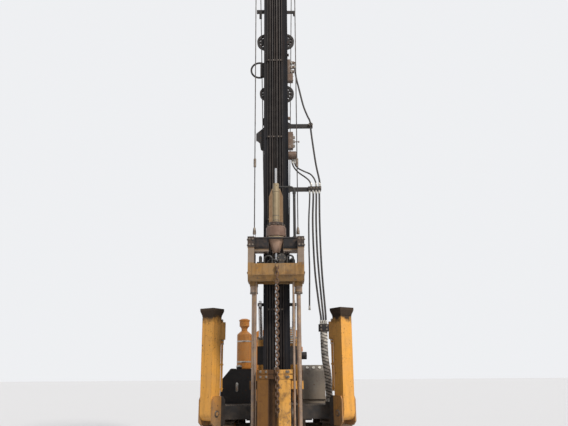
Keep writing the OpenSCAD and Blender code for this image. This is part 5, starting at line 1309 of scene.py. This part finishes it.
def hammer_paint(name, fresh, faded, bare, wear=0.7, dark_over=(0, 0), stained=0.6, scratched=0.35,
                 jambs=(0, 0), groove=(0, 0)):
    """Ochre paint in hard use: pale rubbed patches, brown stains, long scratches, oily runs."""
    finish, tree, shader = new_finish(name, metallic=0.1)
    shader.inputs["Specular IOR Level"].default_value = 0.25
    fade = effect(tree, mottle, Scale=3.6, From=0.38, To=0.64)
    stain = effect(tree, mottle, Scale=7.5, From=0.5, To=0.68)
    oily = effect(tree, streak, Across=18, Down=1.3, From=0.52, To=0.74)
    scratch = effect(tree, streak, Across=120, Down=3.5, From=0.63, To=0.7)
    edge = effect(tree, worn_edges, Width=0.008, Amount=wear, Scale=13)
    chip = effect(tree, chips, Scale=30, From=0.60, To=0.63)
    skin = effect(tree, grain, Scale=300, Depth=1)
    gone = combine(tree, "MAXIMUM", edge, chip)
    colour = layer(tree, fresh, faded, fade, 0.9)
    colour = layer(tree, colour, (0.085, 0.045, 0.022), stain, stained)
    colour = layer(tree, colour, (0.045, 0.026, 0.014), oily, stained * 0.8)
    colour = layer(tree, colour, (0.62, 0.48, 0.32), scratch, scratched)
    colour = layer(tree, colour, bare, gone, 0.85)
    if jambs != (0, 0):
        rubbed = combine(tree, "MULTIPLY", effect(tree, band, Low=jambs[0], High=jambs[1], Edge=0.02),
                         ramp(tree, fade, 0, 1, 0.9, 0.55))
        colour = layer(tree, colour, (0.21, 0.175, 0.150), rubbed)
    if groove != (0, 0):
        ragged = combine(tree, "ADD", place_parts(tree)["X"], combine(tree, "MULTIPLY", oily, 0.05))
        # Painted shadow: the ram's left half turns dark brown towards the left
        painted_shadow_side = ramp(tree, ragged, groove[1], groove[0])
        brown = layer(tree, (0.098, 0.040, 0.008), (0.045, 0.019, 0.006), oily, 0.8)
        colour = layer(tree, colour, brown, painted_shadow_side, 0.92)
        # Painted shade: the groove is near black
        painted_groove_shade = combine(tree, "MULTIPLY", ramp(tree, ragged, groove[0], groove[0] + 0.01),
                          ramp(tree, ragged, groove[1] + 0.03, groove[1] - 0.01))
        colour = layer(tree, colour, (0.038, 0.016, 0.006), painted_groove_shade, 0.9)
    if dark_over != (0, 0):
        upper = effect(tree, band, Low=dark_over[0], High=dark_over[1], Edge=0.006)
        black = layer(tree, (0.022, 0.020, 0.021), (0.085, 0.055, 0.038), stain, 0.7)
        colour = layer(tree, colour, layer(tree, black, (0.16, 0.12, 0.09), edge, 0.6), upper)
    rough = level(tree, 0.42, (fade, 0.1), (stain, -0.08), (gone, 0.2), (oily, -0.12))
    relief = combine(tree, "SUBTRACT", combine(tree, "MULTIPLY", skin, 0.15),
                     combine(tree, "MULTIPLY", gone, 0.5))
    finish_off(tree, shader, colour, rough, relief, 0.0016)
    return finish


top_paint = hammer_paint("top_frame_paint", (0.28, 0.145, 0.040), (0.225, 0.145, 0.072),
                         (0.14, 0.095, 0.062),
                         dark_over=(jamb_top - 0.001, 4.2), jambs=(3.20, jamb_top))
dress("hammer_top_frame", top_paint)

# Bolts of the upper frame, of the oval covers and of the cylinder's flange, all on the hammer
corner_out = 0.006
corner_rows = (3.49, 3.58)
tray_bolt_z = 3.060
flange_top_z = 3.641
shell_top_z = 3.8385
frame_bolts = []
for side_x in (-1, 1):
    for dx in (0.030, 0.080):
        x = side_x * (frame_half + corner_out - dx)
        for z in corner_rows:
            frame_bolts.append(((x, frame_front_y - corner_out, z), (0, -1, 0)))
            frame_bolts.append(((x, frame_rear_y + corner_out, z), (0, 1, 0)))
    for y in (-0.180, 0.180):
        for z in corner_rows:
            frame_bolts.append(((side_x * (frame_half + corner_out), frame_middle_y + y, z),
                                (side_x, 0, 0)))
    for y in (-0.17, -0.06, 0.06, 0.17):
        frame_bolts.append(((side_x * frame_half, frame_middle_y + y, tray_bolt_z), (side_x, 0, 0)))
bolt_piece("frame_bolts", frame_bolts, "hammer", radius=0.009)
flange_bolts = []
for low, high in zip(on_circle(0.152, 12, 0.5), on_circle(0.137, 12, 0.5)):
    for (x, y), z in ((low, flange_top_z), (high, shell_top_z)):
        flange_bolts.append(((x, frame_middle_y + y, z), (0, 0, 1)))
bolt_piece("flange_bolts", flange_bolts, "hammer", radius=0.009)

# Weld beads where jambs meet the tray, along the sill and round the lugs
lug_weld_z = 3.621
tray_weld_z = 3.0195
tray_weld_y = frame_front_y + 0.0005
bead_form = bmesh.new()
for side_x in (-1, 1):
    x_in = side_x * 0.338
    for y in (frame_front_y, frame_rear_y):
        weld(bead_form, ((x_in, y, 3.198), (x_in, y, 3.30), (x_in, y, 3.42)), 0.005)
    for x in (0.343, 0.367):
        weld(bead_form, [(side_x * x, y, lug_weld_z) for y in (-2.108, -2.074, -2.040)], 0.006)
    weld(bead_form, [(side_x * x, tray_weld_y, tray_weld_z) for x in (0.33, 0.2, 0.06)], 0.006)
make_piece("frame_welds", bead_form, "hammer", top_paint)

# Hammer cylinder
# A turned steel cylinder with a flange, a gland head and a cone below its seat, all in one line
# with the rod. Each part has its own colour: pale cone, rusty shell, khaki tube, brown guards.
cylinder_bands = ((3.0, 3.606, (0.40, 0.26, 0.185), (0.27, 0.165, 0.105)),
                  (3.640, 3.8255, (0.135, 0.075, 0.050), (0.21, 0.13, 0.095)),
                  (3.8255, 3.890, (0.030, 0.022, 0.018), (0.08, 0.045, 0.03)))
guard_from = 0.0565


def cylinder_steel(name):
    """Turned steel in painted bands by height, with brown painted guards beside the tube."""
    finish, tree, shader = new_finish(name, metallic=0.25)
    fade = effect(tree, mottle, Scale=6, From=0.4, To=0.66)
    stain = effect(tree, mottle, Scale=14, From=0.5, To=0.72)
    run = effect(tree, streak, Across=45, Down=1.4, From=0.5, To=0.75)
    edge = effect(tree, worn_edges, Width=0.005, Amount=0.6, Scale=15)
    skin = effect(tree, grain, Scale=350, Depth=1)
    colour = layer(tree, (0.29, 0.225, 0.135), (0.23, 0.175, 0.10), fade, 0.9)
    colour = layer(tree, colour, (0.16, 0.11, 0.06), stain, 0.35)
    out_x = combine(tree, "ABSOLUTE", place_parts(tree)["X"], 0.0)
    beside = combine(tree, "MULTIPLY", ramp(tree, out_x, guard_from, guard_from + 0.002),
                     effect(tree, band, Low=3.8895, High=4.47, Edge=0.002))
    colour = layer(tree, colour, layer(tree, (0.17, 0.10, 0.048), (0.30, 0.19, 0.10), stain, 0.6),
                   beside)
    for low, high, main, other in cylinder_bands:
        shown = effect(tree, band, Low=low, High=high, Edge=0.003)
        colour = layer(tree, colour, layer(tree, main, other, fade, 0.9), shown)
    colour = layer(tree, colour, (0.05, 0.03, 0.018), run, 0.4)
    colour = layer(tree, colour, (0.40, 0.34, 0.28), edge, 0.5)
    rough = level(tree, 0.38, (fade, 0.12), (stain, 0.15), (run, -0.08))
    finish_off(tree, shader, colour, rough,
               combine(tree, "ADD", combine(tree, "MULTIPLY", skin, 0.2), run), 0.0008)
    return finish


dress("hammer_cylinder", cylinder_steel("cylinder_steel"))
gland_form = bmesh.new()
for z in (3.925, 4.00):
    turned(gland_form, [(0.053, 0), (0.0555, 0.002), (0.0555, 0.010), (0.053, 0.012)],
           (0, frame_middle_y, z), (0, 0, 1), 40)
hex_nut(gland_form, (0, frame_middle_y, 4.500), (0, 0, 1), 0.049, 0.0525, 0.025, 0.003)
make_piece("cylinder_rings", gland_form, "hammer", bolt_steel)

# Valves and motor in the frame's window
# A cast motor, a valve block with two solenoid coils, an accumulator and arched hoses sit in the
# tray. All are black with oil, and their hexagon fittings are zinc plated.
valve_black = machine_paint("valve_black", (0.016, 0.016, 0.017), (0.04, 0.036, 0.032),
                            (0.16, 0.14, 0.12),
                            (0.06, 0.045, 0.03), wear=0.45, mud_clear=3.2, mud_full=3.0, gloss=0.3)
dress("hammer_valve", valve_black)
tray_floor = 3.0503
union_form = bmesh.new()
for x, y, bend, size in ((-0.120, -0.150, 0.062, 0.015), (0.220, -0.150, 0.048, 0.015),
                         (-0.060, -0.110, 0.080, 0.013)):
    for sign in (-1, 1):
        place = (x + sign * bend, frame_middle_y + y, tray_floor)
        hex_nut(union_form, place, (0, 0, 1), size * 1.5, size * 1.65, 0.029, 0.003)
        turned(union_form, [(size * 1.02, 0.029), (size * 1.3, 0.031), (size * 1.3, 0.085),
                            (size * 1.02, 0.088)],
               place, (0, 0, 1), 18)
for y in (-0.070, 0.010):
    turned(union_form, [(0.014, 0), (0.016, 0.002), (0.016, 0.010), (0.012, 0.013)],
           (-0.245, frame_middle_y + y, tray_floor + 0.2785), (0, 0, 1), 6)
turned(union_form, [(0.020, 0), (0.024, 0.003), (0.024, 0.024), (0.014, 0.030), (0.006, 0.034)],
       (0.250, frame_middle_y + 0.040, tray_floor + 0.249), (0, 0, 1), 6)
make_piece("valve_unions", union_form, "hammer", zinc)
motor_bolts = []
for dx, dz in on_circle(0.046, 6):
    motor_bolts.append(((0.085 + dx, frame_middle_y - 0.186, tray_floor + 0.240 + dz), (0, -1, 0)))
bolt_piece("hammer_motor_bolts", motor_bolts, "hammer", radius=0.005)

# Guide columns
# Ground steel columns that the ram slides along, with two slim tie rods. Dry dust and thin rust
# give them a pinkish colour, rubbed in patches and flecked with dark oil.
def column_steel(name):
    """Ground steel with a pinkish film of rust and dust, yellow mottling and dark specks."""
    finish, tree, shader = new_finish(name, metallic=0.3)
    film = effect(tree, mottle, Scale=5, From=0.38, To=0.66)
    yellow = effect(tree, mottle, Scale=17, From=0.5, To=0.72)
    run = effect(tree, streak, Across=60, Down=0.9, From=0.55, To=0.78)
    speck = effect(tree, chips, Scale=70, From=0.62, To=0.66)
    skin = effect(tree, grain, Scale=500, Depth=1)
    colour = layer(tree, (0.215, 0.150, 0.110), (0.33, 0.235, 0.175), film, 0.9)
    colour = layer(tree, colour, (0.44, 0.27, 0.10), yellow, 0.65)
    colour = layer(tree, colour, (0.20, 0.12, 0.08), run, 0.55)
    colour = layer(tree, colour, (0.06, 0.04, 0.03), speck, 0.8)
    finish_off(tree, shader, colour, level(tree, 0.34, (film, 0.2), (yellow, 0.1)), skin, 0.0004)
    return finish


dress("guide_columns", column_steel("column_steel"))
column_x = 0.347
nut_form = bmesh.new()
for side_x in (-1, 1):
    for z in (0.6602, 2.753):
        turned(nut_form, [(0.0585, 0), (0.063, 0.004), (0.063, 0.020), (0.0585, 0.024)],
               (side_x * column_x, frame_middle_y, z), (0, 0, 1), 32)
for x, size in ((0.266, 0.017), (-0.306, 0.008)):
    for z in (0.601, 2.985):
        turned(nut_form, [(size * 1.55, 0), (size * 1.75, 0.003), (size * 1.75, size * 1.3),
                          (size * 1.55, size * 1.5)],
               (x, frame_middle_y - 0.090, z), (0, 0, 1), 6)
make_piece("column_nuts", nut_form, "hammer", bolt_steel)

# Hammer base and pile helmet
# A thick burnt plate carries the columns and the anvil. The cast helmet below it sits on the
# pile's head; every blow has polished its rim and driven scale off its sides.
dress("hammer_base", hammer_paint("base_paint", (0.50, 0.27, 0.07), (0.42, 0.29, 0.16),
                                  (0.20, 0.15, 0.11), wear=0.9, stained=0.75, scratched=0.5))
dress("pile_helmet", cast_steel("helmet_steel", (0.065, 0.045, 0.035), (0.15, 0.07, 0.035),
                                (0.34, 0.31, 0.27), 0.75, dry_mud, 0.45, 0.15))
base_top_z = 0.600
base_edge_z = 0.500
base_front_y = frame_middle_y - 0.210
helmet_circle_r = 0.258
helmet_ring_z = 0.380
base_bolts = []
for side_x in (-1, 1):
    for dx, dy in ((-0.038, -0.12), (0.038, -0.12), (-0.038, 0.12), (0.038, 0.12)):
        base_bolts.append(((side_x * column_x + dx, frame_middle_y + dy, base_top_z), (0, 0, 1)))
    for dx in (0.05, 0.15, 0.30, 0.38):
        base_bolts.append(((side_x * dx, base_front_y, base_edge_z), (0, -1, 0)))
bolt_piece("base_bolts", base_bolts, "hammer", radius=0.012)
ring_bolts = []
for x, y in on_circle(helmet_circle_r, 16, 0.5):
    ring_bolts.append(((x, frame_middle_y + y, helmet_ring_z), (0, 0, -1)))
bolt_piece("helmet_bolts", ring_bolts, "hammer", radius=0.010)

# Ram
# Two forged blocks joined by collars slide between the columns. The left half is painted dark brown as
# the shadow that falls on it, the groove is painted near black as shade, and the collars' tops are
# scraped pale.
dress("ram", hammer_paint("ram_ochre", (0.58, 0.285, 0.055), (0.50, 0.27, 0.080), (0.20, 0.115, 0.060),
                          wear=0.85, stained=0.7, scratched=0.2, groove=(-0.128, 0.010)))
dress("ram_rod", chrome)
rod_nut_z = 1.620
collar_front_y = frame_middle_y - 0.223
guide_rear_y = frame_middle_y + 0.078
ram_form = bmesh.new()
turned(ram_form, [(0.040, -0.001), (0.040, 0.030), (0.034, 0.036), (0.0185, 0.036)],
       (0, frame_middle_y, rod_nut_z), (0, 0, 1), 6)
make_piece("rod_nut", ram_form, "ram", bolt_steel)
ram_bolts = []
for x in (-0.235, -0.15, 0.15, 0.175):
    for z in (1.5905, 1.5175):
        ram_bolts.append(((x, collar_front_y, z), (0, -1, 0)))
for side_x in (-1, 1):
    for z in (0.70, 0.74, 1.40, 1.44):
        ram_bolts.append(((side_x * 0.375, guide_rear_y, z), (0, 1, 0)))
bolt_piece("ram_bolts", ram_bolts, "ram", radius=0.010)

# Lifting chain
# Welded round-wire links, brown with rust and bright only where they rub in one another.
chain_steel = cast_steel("chain_steel", (0.10, 0.06, 0.04), (0.17, 0.085, 0.04), (0.30, 0.25, 0.20),
                         0.6, (0.08, 0.05, 0.03), 1.4, 0.9)
chain_low, chain_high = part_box("lifting_chain")
link_wire = 0.009
link_pitch = 0.0547
link_half_w = 0.032 - link_wire
link_half_l = 0.0135
link_outer_l = 0.082
chain_place = Vector((0.015, -2.502, 3.137))
link_count = round((chain_high.z - chain_low.z - link_outer_l) / link_pitch) + 1
chain_form = bmesh.new()
ring_sides = 10
for i in range(link_count):
    middle = chain_place - Vector((0, 0, i * link_pitch))
    flat = Vector((1, 0, 0)) if i % 2 == 0 else Vector((0, 1, 0))
    path = []
    for half_turn in range(2):
        sign = 1 if half_turn == 0 else -1
        for k in range(9):
            turn = math.pi * k / 8
            path.append(middle + flat * link_half_w * math.cos(turn) * sign
                        + Vector((0, 0, sign * (link_half_l + link_half_w * math.sin(turn)))))
    count = len(path)
    rows = []
    for k, place in enumerate(path):
        along = (path[(k + 1) % count] - path[k - 1]).normalized()
        thick = flat.cross(Vector((0, 0, 1)))
        side = along.cross(thick).normalized()
        rows.append([chain_form.verts.new(place + link_wire * (
            math.cos(math.tau * j / ring_sides) * side + math.sin(math.tau * j / ring_sides) * thick))
            for j in range(ring_sides)])
    for k in range(count):
        low, high = rows[k], rows[(k + 1) % count]
        for j in range(ring_sides):
            m = (j + 1) % ring_sides
            chain_form.faces.new((low[j], low[m], high[m], high[j]))
chain = make_piece("chain_links", chain_form, "hammer", chain_steel, angle=60)
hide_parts("lifting_chain")

# Hoist ropes
# Two steel ropes of twisted strands run from the hammer's lugs up over the head's sheaves and
# down behind the leader to the winch. A cast socket with a pin ties each to its lug.
rope_r = 0.009
rope_steel_finish, tree, shader = new_finish("rope_steel", metallic=0.3)
greasy = effect(tree, mottle, Scale=6, From=0.4, To=0.66)
rope_rust = effect(tree, chips, Scale=30, From=0.55, To=0.65)
rope_skin = effect(tree, grain, Scale=700, Depth=1)
rope_colour = layer(tree, (0.065, 0.057, 0.052), (0.020, 0.017, 0.015), greasy, 0.8)
rope_colour = layer(tree, rope_colour, (0.085, 0.042, 0.022), rope_rust, 0.5)
finish_off(tree, shader, rope_colour, level(tree, 0.4, (greasy, -0.1), (rope_rust, 0.3)), rope_skin,
           0.0004)
strands = 6
strand_pitch = 0.13


def rope(form, line, phase=0.0):
    """A rope along a line of points: a lobed section that turns about the line as it runs."""
    walked = phase
    rings = []
    around = 18
    for i, middle in enumerate(line):
        walked += (middle - line[max(i - 1, 0)]).length
        along = (line[min(i + 1, len(line) - 1)] - line[max(i - 1, 0)]).normalized()
        side = Vector((1, 0, 0))
        up = along.cross(side).normalized()
        twist = math.tau * walked / strand_pitch
        ring = []
        for k in range(around):
            turn = math.tau * k / around
            size = rope_r * (0.93 + 0.07 * math.cos(strands * (turn - twist)))
            ring.append(middle + size * (math.cos(turn) * side + math.sin(turn) * up))
        rings.append(ring)
    loft(form, rings)


def straight(start, end, step=0.02):
    """Evenly spread points between two places."""
    count = max(2, round((end - start).length / step))
    return [start.lerp(end, i / count) for i in range(count + 1)]


rope_x = 0.355
fall_y = -2.074
lug_pin_z = 3.668
strap_top = 3.765
strap_half = 0.020
wrap_r = 0.174
drum_x = 0.190
coil_r = 0.104
coil_pitch = 0.0193
socket_top = 4.90
drum_turns = 8.4
turn_steps = 28


def quarter(x, shaft_y, start, steps=24):
    """Points over a quarter of a sheave, from the start angle onwards to the rear."""
    turns = [start - math.pi / 2 * k / steps for k in range(steps + 1)]
    return [Vector((x, shaft_y + wrap_r * math.cos(turn), sheave_z + wrap_r * math.sin(turn)))
            for turn in turns]


runs_form = bmesh.new()
for side_x, side in ((-1, "left"), (1, "right")):
    x = side_x * rope_x
    form = bmesh.new()
    rope(form, straight(Vector((x, fall_y, 3.78)), Vector((x, fall_y, socket_top))))
    make_piece("rope_tail_" + side, form, "hammer", rope_steel_finish, angle=80)
    # Socket, its pin and the swelling where the rope's end is clamped
    form = bmesh.new()
    turned(form, [(0.015, -0.020), (0.015, 0.020)], (x, fall_y, lug_pin_z), (side_x, 0, 0), 20)
    for s in (-1, 1):
        cheek = [(0.026, s * 0.0135), (0.026, s * 0.0195), (0.020, s * 0.0205)]
        turned(form, cheek, (x, fall_y, lug_pin_z), (1, 0, 0), 24)
        strap = ((-strap_half, lug_pin_z), (-strap_half, strap_top),
                 (strap_half, strap_top), (strap_half, lug_pin_z))
        loft(form, [[Vector((x + s * out, fall_y + dy, z)) for dy, z in strap]
                    for out in (0.0135, 0.0195)])
    turned(form, [(0.024, 0), (0.028, 0.004), (0.026, 0.05), (0.016, 0.11), (0.010, 0.115)],
           (x, fall_y, 3.745), (0, 0, 1), 24)
    turned(form, [(0.010, 0), (0.022, 0.010), (0.022, 0.15), (0.010, 0.16)],
           (x, fall_y, socket_top), (0, 0, 1), 18)
    make_piece("rope_socket_" + side, form, "hammer", bolt_steel)
    # The hanging part, on a mesh of its own
    hang_low = socket_top + 0.15
    form = bmesh.new()
    rope(form, straight(Vector((x, fall_y, hang_low)), Vector((x, fall_y, sheave_z)), 0.025))
    hanging = make_piece("rope_fall_" + side, form, "leader", rope_steel_finish, angle=80)
    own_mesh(hanging)
    # Over both sheaves and down to the drum
    line = quarter(x, front_shaft, math.pi)
    line += straight(Vector((x, front_shaft, sheave_z + wrap_r)),
                     Vector((x, rear_shaft, sheave_z + wrap_r)))[1:]
    line += quarter(x, rear_shaft, math.pi / 2)[1:]
    line += straight(Vector((x, rear_shaft + wrap_r, sheave_z)),
                     Vector((side_x * drum_x, drum_y + coil_r + rope_r, drum_z)), 0.025)[1:]
    rope(runs_form, line)
    # Turns on the drum
    form = bmesh.new()
    coil = []
    for k in range(int(drum_turns * turn_steps) + 1):
        turn = math.tau * k / turn_steps
        coil.append(Vector((side_x * (0.028 + coil_pitch * k / turn_steps),
                            drum_y + coil_r * math.cos(turn), drum_z + coil_r * math.sin(turn))))
    rope(form, coil)
    make_piece("rope_turns_" + side, form, "winch_drum", rope_steel_finish, angle=80)
runs = make_piece("rope_runs", runs_form, "leader", rope_steel_finish, angle=80)
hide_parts("hoist_ropes")

# Surroundings
# A pale studio floor and soft light. The background stays pale in the camera alone, and the
# floor keeps the machine's shadow.
floor_half = 100
floor_mesh = bpy.data.meshes.new("floor")
floor_mesh.from_pydata([(-floor_half, -floor_half, 0), (floor_half, -floor_half, 0),
                        (floor_half, floor_half, 0), (-floor_half, floor_half, 0)], [], [(0, 1, 2, 3)])
floor_finish, tree, shader = new_finish("floor_finish")
shader.inputs["Base Color"].default_value = (0.62, 0.62, 0.63, 1)
shader.inputs["Roughness"].default_value = 0.75
floor_mesh.materials.append(floor_finish)
floor = bpy.data.objects.new("floor", floor_mesh)
bpy.context.scene.collection.objects.link(floor)

# The key light is a broad sun from high on the right, as in the photo; the sky fills the rest
sun_power = 3.8
sun_spread = 0.18
sun_angles = (46, 0, 34)
sun = bpy.data.lights.new("sun", "SUN")
sun.energy = sun_power
sun.angle = sun_spread
sun.color = (1.0, 0.95, 0.88)
sun_holder = bpy.data.objects.new("sun", sun)
sun_holder.rotation_euler = [math.radians(a) for a in sun_angles]
bpy.context.scene.collection.objects.link(sun_holder)

world = bpy.data.worlds.new("studio")
world.use_nodes = True
bpy.context.scene.world = world
tree = world.node_tree
sky_light = tree.nodes["Background"]
sky_light.inputs["Color"].default_value = (0.80, 0.86, 0.95, 1)
sky_light.inputs["Strength"].default_value = 0.5
backdrop = place_node(tree, "ShaderNodeBackground", {"Color": (0.86, 0.87, 0.89, 1), "Strength": 1.0})
path = tree.nodes.new("ShaderNodeLightPath")
seen = combine(tree, "MAXIMUM", path.outputs["Is Camera Ray"], combine(
    tree, "MAXIMUM", path.outputs["Is Glossy Ray"], path.outputs["Is Transmission Ray"]))
choice = tree.nodes.new("ShaderNodeMixShader")
tree.links.new(seen, choice.inputs[0])
tree.links.new(sky_light.outputs[0], choice.inputs[1])
tree.links.new(backdrop.outputs[0], choice.inputs[2])
tree.links.new(choice.outputs[0], tree.nodes["World Output"].inputs["Surface"])

bpy.context.scene.view_settings.view_transform = "Standard"
